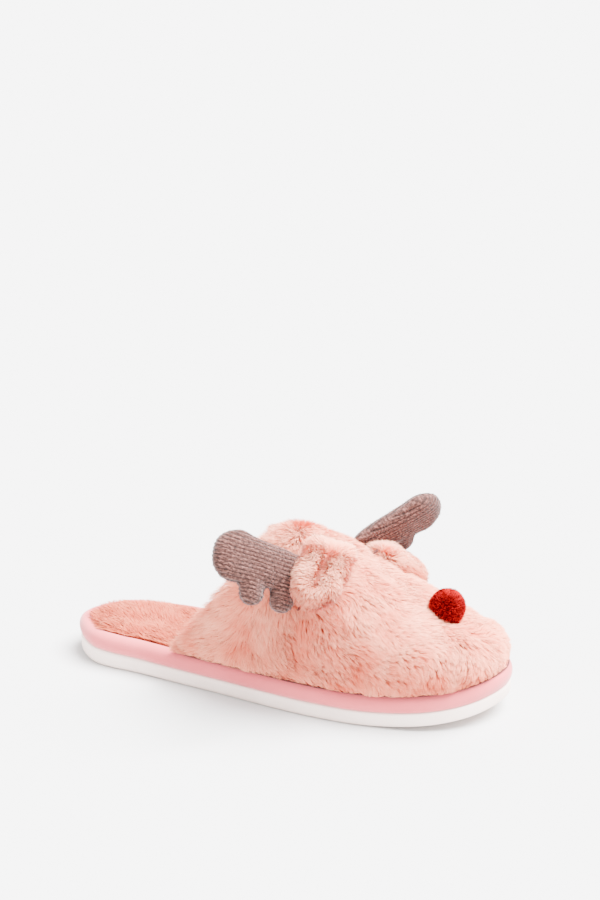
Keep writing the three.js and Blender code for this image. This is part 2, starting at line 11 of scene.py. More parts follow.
import bmesh
import bpy
import numpy as np
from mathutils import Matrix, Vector


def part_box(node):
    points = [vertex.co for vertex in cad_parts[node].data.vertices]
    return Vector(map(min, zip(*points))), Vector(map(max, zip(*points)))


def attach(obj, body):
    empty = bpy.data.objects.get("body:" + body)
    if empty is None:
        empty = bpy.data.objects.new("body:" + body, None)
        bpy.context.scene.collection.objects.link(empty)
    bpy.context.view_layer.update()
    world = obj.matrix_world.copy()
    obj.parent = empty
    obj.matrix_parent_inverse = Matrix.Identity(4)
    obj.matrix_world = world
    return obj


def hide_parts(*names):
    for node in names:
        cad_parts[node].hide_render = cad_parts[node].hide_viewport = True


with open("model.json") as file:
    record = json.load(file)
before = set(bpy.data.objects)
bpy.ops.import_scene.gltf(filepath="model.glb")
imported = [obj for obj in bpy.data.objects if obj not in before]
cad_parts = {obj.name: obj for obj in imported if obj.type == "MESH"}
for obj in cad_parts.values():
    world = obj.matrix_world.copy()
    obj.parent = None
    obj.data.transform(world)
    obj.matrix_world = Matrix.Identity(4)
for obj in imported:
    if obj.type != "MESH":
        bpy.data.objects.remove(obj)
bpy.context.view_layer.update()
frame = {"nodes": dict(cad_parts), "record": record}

bl_info = {
    "name": "Plush slipper looks",
    "version": (1, 0, 0),
    "blender": (4, 5, 0),
    "location": "View3D > Sidebar > Slipper",
    "description": "Sole unit, pile upper, knitted antlers, ears and pompom nose of a plush slipper",
    "category": "Add Mesh",
}

MM = 0.001

# ---- Sizes shared with the CAD source ----
LENGTH, BALL, WAIST, HEEL, TOE = 265.0, 93.0, 73.0, 65.0, 80.0
RAND_HEIGHT = 10.1
RAND_ROLL = 8.2
FOOTBED_INSET = 10.2
VAMP_INSET = 1.6
VAMP_BASE = 10.7
VAMP_CORNER_X = -60.0
FUR_THICKNESS = 6.0
STATIONS = [
    (-0.44, 0.38 * HEEL, 0.4 * HEEL), (-0.3, 0.475 * HEEL, 0.525 * HEEL), (-0.12, 0.52 * WAIST, 0.47 * WAIST),
    (0.1, 0.5 * BALL, 0.465 * BALL), (0.25, 0.5 * BALL, 0.505 * BALL), (0.38, 0.49 * TOE, 0.51 * TOE),
    (0.46, 0.3 * TOE, 0.34 * TOE),
]
ROUND = 640  # points round the sole

# ---- Curves and heights ----


def ramp(value, low, high):
    """clamp((value - low) / (high - low), 0, 1) squared."""
    return np.clip((value - low) / (high - low), 0, 1) ** 2


def smooth(value, low, high):
    """3t^2 - 2t^3 with t = clamp((value - low) / (high - low), 0, 1)."""
    t = np.clip((value - low) / (high - low), 0, 1)
    return t * t * (3 - 2 * t)


def floor_height(x):
    share = x / LENGTH + 0.5
    return 9.5 * ramp(share, 0.68, 1) + 0.8 * ramp(-share, -0.1, 0)


def outsole_top(x):
    share = x / LENGTH + 0.5
    return floor_height(x) + 8.9 + 2.3 * ramp(-share, -0.4, 0) - 0.6 * ramp(share, 0.5, 1)


def curve(points, share, closed=False):
    """Centripetal Catmull-Rom curve through points, at shares 0 to 1 of its spans."""
    points = np.asarray(points, float)
    if closed:
        ring = np.vstack([points[-1:], points, points[:2]])
        at = np.mod(share, 1.0) * len(points)
    else:
        ring = np.vstack([2 * points[0] - points[1], points, 2 * points[-1] - points[-2]])
        at = np.clip(share, 0, 1) * (len(points) - 1)
    span = np.minimum(np.floor(at).astype(int), len(ring) - 4)
    t = (at - span)[..., None]
    p0, p1, p2, p3 = (ring[span + k] for k in range(4))
    d0, d1, d2 = (np.sqrt(np.linalg.norm(b - a, axis=-1, keepdims=True))
                  for a, b in ((p0, p1), (p1, p2), (p2, p3)))
    m1 = ((p1 - p0) / d0 - (p2 - p0) / (d0 + d1) + (p2 - p1) / d1) * d1
    m2 = ((p2 - p1) / d1 - (p3 - p1) / (d1 + d2) + (p3 - p2) / d2) * d1
    return p1 + m1 * t + (3 * (p2 - p1) - 2 * m1 - m2) * t ** 2 + (2 * (p1 - p2) + m1 + m2) * t ** 3


def make_outline():
    outer = [(share * LENGTH, -width) for share, width, _ in STATIONS]
    inner = [(share * LENGTH, width) for share, _, width in STATIONS]
    return np.array([(-LENGTH / 2, -3.0), *outer, (LENGTH / 2, 1.0), *inner[::-1]])


OUTLINE = make_outline()
TURN = np.linspace(0, 1, ROUND, endpoint=False)


def unit(v):
    return v / np.maximum(np.linalg.norm(v, axis=-1, keepdims=True), 1e-12)


def rim(turn, inset):
    """x and y at a share of the way round the outline from the heel tip, moved in by an inset."""
    turn = np.asarray(turn, float)
    point = curve(OUTLINE, turn, True)
    along = unit(curve(OUTLINE, turn + 1e-4, True) - curve(OUTLINE, turn - 1e-4, True))
    normal = np.stack([along[..., 1], -along[..., 0]], -1)
    return point - normal * np.asarray(inset, float)[..., None]


def rim_point(turn, inset, rise):
    """The rim at a rise above the outsole's top."""
    xy = rim(turn, inset)
    return np.concatenate([xy, (outsole_top(xy[..., 0]) + rise)[..., None]], -1)


def path_rings(path, turn=TURN):
    """Rings round the sole, one for each (inset, rise) of a path: an array [ring, point, xyz]."""
    path = np.asarray(path, float)
    return np.stack([rim_point(turn, np.full(len(turn), inset), rise) for inset, rise in path])


RIDGE = [(-9, 88), (4, 93), (19, 89.5), (0.17 * LENGTH, 77), (0.29 * LENGTH, 60), (0.38 * LENGTH, 49),
         (0.445 * LENGTH, 42), (0.48 * LENGTH, 33),
         (LENGTH / 2 - VAMP_INSET, float(outsole_top(np.array(LENGTH / 2))) + RAND_HEIGHT + 0.3)]
_half = np.linspace(0.05, 0.45, 4000)
CORNER = float(np.interp(VAMP_CORNER_X, curve(OUTLINE, _half, True)[:, 0], _half))


def vamp_point(inset, share, degrees):
    """Point of the upper. share runs from the foot opening to the toe and degrees from the outer base, 0, over
    the ridge, 90, to the inner base, 180: foot + (base - foot)|cos|^0.8 + (crest - foot)|sin|^0.88."""
    inset, share, degrees = np.broadcast_arrays(*(np.asarray(a, float) for a in (inset, share, degrees)))
    turn = CORNER + share * (0.5 - CORNER)
    outer = rim_point(turn, VAMP_INSET + inset, VAMP_BASE)
    inner = rim_point(1 - turn, VAMP_INSET + inset, VAMP_BASE)
    foot = (outer + inner) / 2
    ridge = curve(RIDGE, share)
    along = unit(curve(RIDGE, share + 1e-3) - curve(RIDGE, share - 1e-3))
    crest = np.stack([ridge[..., 0] + along[..., 1] * inset, foot[..., 1],
                      ridge[..., 1] - along[..., 0] * inset], -1)
    crest[..., 2] = np.maximum(crest[..., 2], foot[..., 2] + 1)
    angle = np.radians(degrees)
    across = (np.abs(np.cos(angle)) ** 0.8)[..., None]
    up = (np.abs(np.sin(angle)) ** 0.88)[..., None]
    base = np.where((degrees < 90)[..., None], outer, inner)
    return foot + (base - foot) * across + (crest - foot) * up


def vamp_grid(inset, shares, degrees):
    return vamp_point(inset, *np.meshgrid(shares, degrees, indexing="ij"))


def value_noise(points, cell, seed):
    """Smooth noise in -1..1: random values on a cubic lattice of this cell, blended by 3t^2 - 2t^3."""
    at = np.asarray(points, float) / cell + 1000.0
    low = np.floor(at).astype(np.int64)
    t = at - low
    t = t * t * (3 - 2 * t)
    total = np.zeros(at.shape[:-1])
    for corner in itertools.product((0, 1), repeat=3):
        c = low + np.array(corner)
        h = (c[..., 0] * 73856093) ^ (c[..., 1] * 19349663) ^ (c[..., 2] * 83492791) ^ (seed * 265443577)
        h = ((h ^ (h >> 13)) * 1274126177) & 0xFFFFFFFF
        value = ((h >> 9) & 0xFFFF) / 32767.5 - 1
        total += value * np.prod(np.where(np.array(corner) == 1, t, 1 - t), axis=-1)
    return total


# ---- Meshes ----


WELD_DISTANCE = 2e-6  # metres


def weld_seams(mesh):
    """Join the points that meet where a grid closes, and turn its faces outwards."""
    work = bmesh.new()
    work.from_mesh(mesh)
    bmesh.ops.remove_doubles(work, verts=work.verts, dist=WELD_DISTANCE)
    bmesh.ops.recalc_face_normals(work, faces=work.faces)
    work.to_mesh(mesh)
    work.free()


def mesh_object(name, points, quads, tris, uv=None, normals=None, weld=True):
    """An object from points in millimetres, quads [n, 4] and tris [n, 3]. uv is one pair for each point."""
    quads, tris = (np.asarray(f, np.int64).reshape(-1, k) for f, k in ((quads, 4), (tris, 3)))
    mesh = bpy.data.meshes.new(name)
    corners = np.concatenate([quads.ravel(), tris.ravel()]).astype(np.int32)
    starts = np.concatenate([np.arange(len(quads)) * 4, len(quads) * 4 + np.arange(len(tris)) * 3])
    mesh.vertices.add(len(points))
    mesh.vertices.foreach_set("co", (np.asarray(points, float) * MM).astype(np.float32).ravel())
    mesh.loops.add(len(corners))
    mesh.loops.foreach_set("vertex_index", corners)
    mesh.polygons.add(len(starts))
    mesh.polygons.foreach_set("loop_start", starts.astype(np.int32))
    mesh.update(calc_edges=True)
    if uv is not None:
        layer = mesh.uv_layers.new(name="OFBake")
        layer.data.foreach_set("uv", np.asarray(uv, np.float32)[corners].ravel())
    if weld:
        weld_seams(mesh)
    mesh.polygons.foreach_set("use_smooth", np.ones(len(mesh.polygons), bool))
    if normals is not None:
        mesh.normals_split_custom_set_from_vertices(np.asarray(normals, float).tolist())
    mesh.update()
    obj = bpy.data.objects.new(name, mesh)
    bpy.context.scene.collection.objects.link(obj)
    return obj


def grid_quads(rows, cols, wrap_rows=False, wrap_cols=False):
    """Quads of a grid of points, with its last row or column joined to the first if it wraps."""
    i, j = np.meshgrid(np.arange(rows if wrap_rows else rows - 1), np.arange(cols if wrap_cols else cols - 1),
                       indexing="ij")
    i2, j2 = (i + 1) % rows, (j + 1) % cols
    return np.stack([i * cols + j, i2 * cols + j, i2 * cols + j2, i * cols + j2], -1).reshape(-1, 4)


def surface(name, grid, wrap_rows=False, wrap_cols=False):
    rows, cols = grid.shape[:2]
    return mesh_object(name, grid.reshape(-1, 3), grid_quads(rows, cols, wrap_rows, wrap_cols), [])


def tube(name, path, radius, sides=8, closed=False):
    """A round cord along a path. The section turns with the path and its ends shrink to a point."""
    path = np.asarray(path, float)
    ahead = np.roll(path, -1, 0) - np.roll(path, 1, 0)
    if not closed:
        ahead[0], ahead[-1] = path[1] - path[0], path[-1] - path[-2]
    ahead = unit(ahead)
    across = unit(np.cross(ahead, [0.31, 0.17, 0.93]))
    up = np.cross(across, ahead)
    turn = np.linspace(0, 2 * math.pi, sides, endpoint=False)
    size = np.full(len(path), float(radius))
    if not closed:
        size[[0, -1]] = 0
    ring = np.cos(turn)[:, None] * across[:, None] + np.sin(turn)[:, None] * up[:, None]
    return surface(name, path[:, None] + ring * size[:, None, None], closed, True)


# ---- Pile ----


def scatter(grid, count, rng, weight=None):
    """Random places on a grid of points, even over its area. Returns each place, its normal, the two directions
    of the grid there and its row and column shares."""
    a, b, c, d = grid[:-1, :-1], grid[1:, :-1], grid[1:, 1:], grid[:-1, 1:]
    area = np.linalg.norm(np.cross(c - a, d - b), axis=-1)
    if weight is not None:
        area = area * weight
    rows, cols = area.shape
    chance = np.cumsum(area.ravel())
    cell = np.minimum(np.searchsorted(chance / chance[-1], rng.random(count)), rows * cols - 1)
    i, j = cell // cols, cell % cols
    s, t = rng.random((2, count, 1))
    a, b, c, d = (grid[i + m, j + n] for m, n in ((0, 0), (1, 0), (1, 1), (0, 1)))
    place = a * (1 - s) * (1 - t) + b * s * (1 - t) + c * s * t + d * (1 - s) * t
    down_rows = unit((b - a) * (1 - t) + (c - d) * t)
    down_cols = unit((d - a) * (1 - s) + (c - b) * s)
    normal = unit(np.cross(down_rows, down_cols))
    shares = np.stack([(i + s[:, 0]) / rows, (j + t[:, 0]) / cols], -1)
    return place, normal, down_rows, down_cols, shares


def tufts(places, cell, seed):
    """Which tuft each place belongs to: the nearest of one jittered point for each cube of a lattice."""
    at = places / cell + 500.0
    low = np.floor(at).astype(np.int64)
    best = np.full(len(at), np.inf)
    key = np.zeros(len(at), np.int64)
    for step in itertools.product((-1, 0, 1), repeat=3):
        c = low + np.array(step)
        h = (c[:, 0] * 92837111) ^ (c[:, 1] * 689287499) ^ (c[:, 2] * 283923481) ^ (seed * 1299709)
        h = ((h ^ (h >> 15)) * 2246822519) & 0xFFFFFFFFFF
        jitter = np.stack([(h >> k) & 1023 for k in (2, 12, 22)], -1) / 1023
        distance = np.sum((at - c - jitter) ** 2, -1)
        nearer = distance < best
        best[nearer] = distance[nearer]
        key[nearer] = (c[nearer, 0] * 4096 + c[nearer, 1]) * 4096 + c[nearer, 2]
    return np.unique(key, return_inverse=True)[1]


def group_mean(values, group):
    counts = np.maximum(np.bincount(group), 1)
    return np.stack([np.bincount(group, values[:, k]) / counts for k in range(values.shape[1])], -1)[group]


def pile(name, places, normal, flow, length, root_angle, tip_angle, width, tone, rng, tuft=0.0, gather=0.0,
         gather_seed=1, floor=None, shading=0.7, lit=None):
    """Ribbons along Bezier curves place, place + L/2 (n cos a + f sin a), place + L (n cos b + f sin b), where n
    is the normal, f the flow, and a and b the root and tip angles. Tips close up to the middle of their tuft.
    The shading leans to lit, or to the normal."""
    count = len(places)
    a, b = (np.radians(np.broadcast_to(angle, count))[:, None] for angle in (root_angle, tip_angle))
    reach = np.broadcast_to(length, count)[:, None]
    gather = np.broadcast_to(gather, count)[:, None]
    middle = places + 0.5 * reach * (normal * np.cos(a) + flow * np.sin(a))
    tip = places + reach * (normal * np.cos(b) + flow * np.sin(b))
    if tuft:
        group = tufts(places, tuft, gather_seed)
        tip = tip + (group_mean(tip, group) - tip) * gather * rng.uniform(0.7, 1.1, (count, 1))
        middle = middle + (group_mean(middle, group) - middle) * gather * 0.35
    t = np.array([0, 0.4, 0.75, 1.0])[None, :, None]
    line = places[:, None] * (1 - t) ** 2 + 2 * middle[:, None] * t * (1 - t) + tip[:, None] * t * t
    if floor is not None:
        line[..., 2] = np.maximum(line[..., 2], floor(line))
    ahead = unit(np.gradient(line, axis=1))
    turned = unit(normal + 0.5 * rng.normal(size=(count, 3)))
    side = unit(np.cross(ahead, turned[:, None]))
    half = 0.5 * np.broadcast_to(width, count)[:, None, None] * np.array([1, 0.9, 0.55])[None, :, None]
    pairs = np.stack([line[:, :3] - side[:, :3] * half, line[:, :3] + side[:, :3] * half], 2)
    pairs = pairs.reshape(count, 6, 3)
    points = np.concatenate([pairs, line[:, 3:]], 1).reshape(-1, 3)
    face = unit(np.cross(side, ahead))
    face = face * np.sign(np.sum(face * normal[:, None], -1, keepdims=True) + 1e-9)
    shade = unit(face * (1 - shading) + (normal if lit is None else lit)[:, None] * shading)
    shade = np.concatenate([np.repeat(shade[:, :3], 2, axis=1), shade[:, 3:]], 1).reshape(-1, 3)
    start = np.arange(count)[:, None, None] * 7
    quads = start + np.array([[0, 1, 3, 2], [2, 3, 5, 4]])
    tris = start + np.array([[4, 5, 6]])
    across = np.array([-1, 1, -1, 1, -1, 1, 0]) * 0.006
    u = np.clip(np.broadcast_to(tone, count), 0.02, 0.98)[:, None] + across
    v = np.broadcast_to(np.array([0.02, 0.02, 0.4, 0.4, 0.75, 0.75, 0.98]), (count, 7))
    uv = np.stack([u, v], -1).reshape(-1, 2)
    return mesh_object(name, points, quads, tris, uv, shade, weld=False)


def spread(rng, count, low, high):
    return rng.uniform(low, high, count)


def turned(vector, axis, degrees):
    """Vectors turned about unit axes (Rodrigues)."""
    angle = np.radians(degrees)[:, None]
    return (vector * np.cos(angle) + np.cross(axis, vector) * np.sin(angle)
            + axis * np.sum(axis * vector, -1, keepdims=True) * (1 - np.cos(angle)))


# ---- Shader parts ----


def linear(rgb):
    """sRGB 0-255 to linear RGBA."""
    c = np.asarray(rgb, float) / 255
    c = np.where(c <= 0.04045, c / 12.92, ((c + 0.055) / 1.055) ** 2.4)
    return (*map(float, c), 1.0)


class Tree:
    """A short way to add nodes to a tree: each call returns the node."""

    def __init__(self, tree):
        self.tree = tree

    def node(self, kind, inputs=None, **settings):
        made = self.tree.nodes.new(kind)
        for key, value in settings.items():
            setattr(made, key, value)
        for key, value in (inputs or {}).items():
            if isinstance(value, bpy.types.NodeSocket):
                self.tree.links.new(value, made.inputs[key])
            else:
                made.inputs[key].default_value = value
        return made

    def math(self, operation, a, b=0.0):
        return self.node("ShaderNodeMath", {0: a, 1: b}, operation=operation).outputs[0]

    def mix(self, factor, a, b, blend="MIX"):
        made = self.node("ShaderNodeMix", {"Factor": factor}, data_type="RGBA", blend_type=blend)
        for index, value in ((6, a), (7, b)):
            if isinstance(value, bpy.types.NodeSocket):
                self.tree.links.new(value, made.inputs[index])
            else:
                made.inputs[index].default_value = value
        return made.outputs[2]

    def ramp(self, factor, stops):
        made = self.node("ShaderNodeValToRGB", {"Fac": factor})
        elements = made.color_ramp.elements
        while len(elements) < len(stops):
            elements.new(0.5)
        for element, (place, color) in zip(elements, stops):
            element.position = place
            element.color = color
        return made.outputs["Color"]


def make_group(name, inputs, outputs):
    group = bpy.data.node_groups.new(name, "ShaderNodeTree")
    for label, kind, default in inputs:
        socket = group.interface.new_socket(label, in_out="INPUT", socket_type=kind)
        socket.default_value = default
    for label, kind in outputs:
        group.interface.new_socket(label, in_out="OUTPUT", socket_type=kind)
    tree = Tree(group)
    return group, tree, tree.node("NodeGroupInput").outputs, tree.node("NodeGroupOutput").inputs


def strand_group():
    """Colour of a strand from its own map: along it from root to tip, and by its tone."""
    color = (1.0, 1.0, 1.0, 1.0)
    group, tree, given, result = make_group(
        "Strand colour", [("Map", "NodeSocketVector", (0, 0, 0)), ("Root", "NodeSocketColor", color),
                          ("Body", "NodeSocketColor", color), ("Tip", "NodeSocketColor", color),
                          ("Dark tone", "NodeSocketColor", color)], [("Color", "NodeSocketColor")])
    parts = tree.node("ShaderNodeSeparateXYZ", {0: given["Map"]}).outputs
    low, high = (
        tree.node("ShaderNodeMapRange", {0: parts[1], 1: start, 2: stop},
                  interpolation_type="SMOOTHSTEP").outputs[0]
        for start, stop in ((0.0, 0.55), (0.5, 1.0)))
    along = tree.mix(high, tree.mix(low, given["Root"], given["Body"]), given["Tip"])
    toned = tree.mix(parts[0], tree.mix(1.0, along, given["Dark tone"], "MULTIPLY"), along)
    group.links.new(toned, result["Color"])
    return group


def grain_group():
    """Two scales of noise in object space: a soft mottle for colour and a fine height."""
    group, tree, given, result = make_group(
        "Cloth grain", [("Coarse", "NodeSocketFloat", 60.0), ("Fine", "NodeSocketFloat", 1500.0)],
        [("Mottle", "NodeSocketFloat"), ("Height", "NodeSocketFloat")])
    place = tree.node("ShaderNodeTexCoord").outputs["Object"]
    coarse = tree.node("ShaderNodeTexNoise", {"Vector": place, "Scale": given["Coarse"], "Detail": 3.0})
    fine = tree.node("ShaderNodeTexNoise", {"Vector": place, "Scale": given["Fine"], "Detail": 2.0})
    mottle = tree.node("ShaderNodeMapRange", {0: coarse.outputs[0], 1: 0.3, 2: 0.7}).outputs[0]
    group.links.new(mottle, result["Mottle"])
    group.links.new(fine.outputs[0], result["Height"])
    return group


def group_node(tree, name, maker, inputs):
    """A node for a shared group, which is made the first time it is asked for."""
    return tree.node("ShaderNodeGroup", inputs, node_tree=bpy.data.node_groups.get(name) or maker())


def new_material(name):
    material = bpy.data.materials.new(name)
    material.use_nodes = True
    material.node_tree.nodes.clear()
    tree = Tree(material.node_tree)
    principled = tree.node("ShaderNodeBsdfPrincipled")
    output = tree.node("ShaderNodeOutputMaterial")
    tree.tree.links.new(principled.outputs[0], output.inputs[0])
    return material, tree, principled


def strand_material(name, root, body, tip, dark, roughness=0.75, sheen=0.15):
    if name in bpy.data.materials:
        return bpy.data.materials[name]
    material, tree, principled = new_material(name)
    place = tree.node("ShaderNodeUVMap", uv_map="OFBake").outputs[0]
    color = group_node(tree, "Strand colour", strand_group, {
        "Map": place, "Root": linear(root), "Body": linear(body), "Tip": linear(tip), "Dark tone": linear(dark)})
    tree.tree.links.new(color.outputs[0], principled.inputs["Base Color"])
    principled.inputs["Roughness"].default_value = roughness
    principled.inputs["Specular IOR Level"].default_value = 0.12
    principled.inputs["Sheen Weight"].default_value = sheen
    return material


def cloth_material(name, light, dark, roughness=0.85, coarse=60.0, fine=1500.0, depth=0.00025, sheen=0.1,
                   specular=0.25):
    """Two colours mottled in object space, over a fine bumped grain."""
    if name in bpy.data.materials:
        return bpy.data.materials[name]
    material, tree, principled = new_material(name)
    grain = group_node(tree, "Cloth grain", grain_group, {"Coarse": coarse, "Fine": fine}).outputs
    color = tree.mix(grain["Mottle"], linear(dark), linear(light))
    bump = tree.node("ShaderNodeBump", {"Strength": 1.0, "Distance": depth, "Height": grain["Height"]})
    tree.tree.links.new(color, principled.inputs["Base Color"])
    tree.tree.links.new(bump.outputs[0], principled.inputs["Normal"])
    principled.inputs["Roughness"].default_value = roughness
    principled.inputs["Specular IOR Level"].default_value = specular
    principled.inputs["Sheen Weight"].default_value = sheen
    return material


def knit_material():
    """Marled yarn: short flecks of three tones that run along the rows, in the map of the antler's own plane,
    with painted shade in the grooves between the rows.
    """
    if "Marled knit" in bpy.data.materials:
        return bpy.data.materials["Marled knit"]
    material, tree, principled = new_material("Marled knit")
    place = tree.node("ShaderNodeUVMap", uv_map="OFBake").outputs[0]
    stretch = tree.node("ShaderNodeVectorMath", {0: place, 1: (70.0, 150.0, 1.0)}, operation="MULTIPLY")
    fleck = tree.node("ShaderNodeTexNoise", {
        "Vector": stretch.outputs[0], "Scale": 1.0, "Detail": 3.0, "Roughness": 0.7})
    stops = [(0.34, linear(KNIT_DARK)), (0.5, linear(KNIT_BODY)), (0.64, linear(KNIT_LIGHT))]
    tone = tree.ramp(fleck.outputs[0], stops)
    # Painted shade: the colour darkens in the grooves between the knitted rows on the flat faces.
    attribute = tree.node("ShaderNodeAttribute", attribute_name="groove").outputs["Fac"]
    color = tree.mix(attribute, linear(KNIT_GROOVE_SHADE), tone)
    bump = tree.node("ShaderNodeBump", {"Strength": 0.6, "Distance": 0.0003, "Height": fleck.outputs[0]})
    tree.tree.links.new(color, principled.inputs["Base Color"])
    tree.tree.links.new(bump.outputs[0], principled.inputs["Normal"])
    principled.inputs["Roughness"].default_value = 0.9
    principled.inputs["Specular IOR Level"].default_value = 0.15
    principled.inputs["Sheen Weight"].default_value = 0.2
    return material


# ---- Colours ----
# The root colours of the fur and ear pile are painted shade deep in the pile, and the tip colours are painted
# light on the lit tips.
FUR_TIP, FUR_BODY, FUR_ROOT = (255, 178, 146), (242, 132, 100), (200, 76, 50)
FUR_DARK = (228, 160, 142)
EAR_TIP, EAR_BODY, EAR_ROOT = (255, 187, 156), (244, 140, 106), (204, 82, 56)
EAR_DARK = (230, 146, 122)
PLUSH_TIP, PLUSH_BODY, PLUSH_ROOT = (208, 118, 87), (190, 80, 50), (144, 42, 22)
PLUSH_DARK = (222, 160, 144)
LINING_LIGHT, LINING_SHADE = (226, 136, 110), (206, 106, 82)
RAND_LIGHT, RAND_SHADE = (211, 92, 98), (203, 84, 90)
SOLE_LIGHT, SOLE_SHADE = (250, 230, 221), (243, 220, 210)
KNIT_LIGHT, KNIT_BODY, KNIT_DARK, KNIT_GROOVE_SHADE = (122, 80, 72), (72, 42, 36), (32, 17, 15), (24, 12, 10)
RED_TIP, RED_BODY, RED_ROOT = (204, 0, 14), (180, 0, 12), (80, 0, 6)
THREAD_COLOR, THREAD_SHADE = (96, 44, 38), (64, 28, 24)


def finish_piece(obj, material, body, slot, *nodes):
    obj.data.materials.append(material)
    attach(obj, body)
    if nodes:
        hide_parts(*nodes)
    return obj


def fur_material():
    return strand_material("Fur strands", FUR_ROOT, FUR_BODY, FUR_TIP, FUR_DARK)


def backing_material():
    # Mottled between the pile's body colour and its darker root colour, which is painted shade.
    return cloth_material("Fur backing", FUR_BODY, FUR_ROOT, 0.95, 90, 1500, 0.0004)


def thread_material():
    return cloth_material("Thread", THREAD_COLOR, THREAD_SHADE, 0.8, 400, 3000, 0.0001)


def joint_frame(name, towards_tip, along_fold, share, degrees):
    """Origin and axes of a sewn-on part: Y on the joint's axis, X towards the tip by the upper's directions."""
    joint = next(j for j in frame["record"]["behaviour"]["joints"] if j["name"] == name)
    origin = np.array(joint["pos_m"]) / MM
    point = vamp_point(0, share, degrees)
    along = vamp_point(0, share + 0.01, degrees) - point
    across = vamp_point(0, share, degrees + 1) - point
    out = unit(np.cross(along, across))
    down = unit(across) * (-1 if degrees < 90 else 1)
    forward = np.cross(out, down) * (1 if degrees < 90 else -1)
    y = unit(np.array(joint["axis"], float))
    x = towards_tip[0] * out + towards_tip[1] * down + towards_tip[2] * forward
    x = unit(x - y * float(np.dot(x, y)))
    return origin, np.stack([x, y, np.cross(x, y)])


# ---- Sole unit ----


def spine_rows(turn, inset, shares, height):
    """Rows from a ring at an inset to the middle line between its two sides, at height(x)."""
    edge = rim(turn, np.full(len(turn), inset))
    other = rim(1 - turn, np.full(len(turn), inset))
    middle = (edge + other) / 2
    rows = []
    for share in shares:
        xy = edge * (1 - share) + middle * share
        rows.append(np.concatenate([xy, height(xy, share)[:, None]], -1))
    return np.stack(rows)


GROOVE_DEPTH, GROOVE_PITCH, FIRST_GROOVE_X = 1.2, 11.0, -106.0
TREAD_ENDS = (-110, 44)  # x at the heel and the toe
# Inset and share of the height, up the side of the slab
OUTSOLE_SIDE = [(1.1, 0.05), (0.35, 0.15), (0.0, 0.3), (0.1, 0.5), (0.0, 0.7), (0.1, 0.86), (0.5, 0.96)]


def build_outsole(settings):
    """Slab between two faces that run from the rim to the middle line. Its underside is floor(x) plus grooves of
    1.2 mm every 11 mm across the tread."""
    def underside(xy, share):
        half = GROOVE_PITCH / 2
        phase = np.abs((xy[:, 0] - FIRST_GROOVE_X + half) % GROOVE_PITCH - half)
        groove = GROOVE_DEPTH * (1 - smooth(phase, 1.1, 1.6)) * smooth(np.full(len(xy), share), 0.24, 0.3)
        groove = groove * (xy[:, 0] > TREAD_ENDS[0]) * (xy[:, 0] < TREAD_ENDS[1])
        return floor_height(xy[:, 0]) + groove

    inward = np.linspace(1, 0, 30) ** 1.2
    under = spine_rows(TURN, 2.4, inward, underside)
    side = []
    for inset, share in OUTSOLE_SIDE:
        xy = rim(TURN, np.full(ROUND, inset))
        low, high = floor_height(xy[:, 0]), outsole_top(xy[:, 0])
        side.append(np.concatenate([xy, (low + (high - low) * share)[:, None]], -1))
    over = spine_rows(TURN, 1.2, np.linspace(0, 1, 12), lambda xy, share: outsole_top(xy[:, 0]))
    grid = np.concatenate([under, np.stack(side), over])
    obj = surface("outsole_slab", grid, False, True)
    finish_piece(obj, cloth_material("Sole foam", SOLE_LIGHT, SOLE_SHADE, 0.6, 40, 900, 0.00012, 0.0, 0.3),
                 "root", "foam_white", "outsole")


RAND_PATH = [
    (8.8, 0.3), (0.8, 0.3), (-0.3, 0.2 * RAND_HEIGHT), (-0.8, 0.48 * RAND_HEIGHT), (0.1, 0.78 * RAND_HEIGHT),
    (2.0, 0.95 * RAND_HEIGHT), (4.6, RAND_HEIGHT), (7.0, 0.93 * RAND_HEIGHT), (RAND_ROLL, 0.77 * RAND_HEIGHT),
]


def build_rand(settings):
    """Thin skin round the sole: its section is a smooth curve through the rand's path, and 1.2 mm inside it."""
    outside = np.concatenate([[RAND_PATH[0]], curve(RAND_PATH[1:], np.linspace(0, 1, 34))])
    slope = unit(np.gradient(outside, axis=0))
    inside = (outside + np.stack([slope[:, 1], -slope[:, 0]], -1) * 1.2)[::-1]
    grid = path_rings(np.concatenate([outside, inside]))
    outer = len(outside)
    swell = value_noise(grid, 26.0, 3) * 0.35 + value_noise(grid, 9.0, 4) * 0.12
    swell[outer:] = 0
    swell[:2] = 0
    grid[..., 2] += swell * 0.6
    grid[..., :2] += unit(grid[..., :2]) * swell[..., None] * 0.6
    obj = surface("rand_skin", grid, True, True)
    cloth = cloth_material("Rand microfibre", RAND_LIGHT, RAND_SHADE, 0.8, 45, 2600, 0.0001, 0.35, 0.2)
    finish_piece(obj, cloth, "root", "rand_pink", "rand_wrap")


def build_threads(settings):
    """Round cords of 0.4 mm radius along the footbed's seam and under the upper's edge."""
    thread = thread_material()
    seam = tube("footbed_seam_cord", rim_point(TURN, np.full(ROUND, 9.2), 0.7 * RAND_HEIGHT), 0.4, 6, True)
    finish_piece(seam, thread, "root", "thread", "footbed_seam_thread")
    turn = np.linspace(CORNER + 0.01, 1 - CORNER - 0.01, 400)
    upper = tube("upper_seam_cord", rim_point(turn, np.full(400, 1.5), RAND_HEIGHT), 0.4, 6)
    finish_piece(upper, thread, "root", "thread", "upper_seam_thread")


# ---- Footbed ----


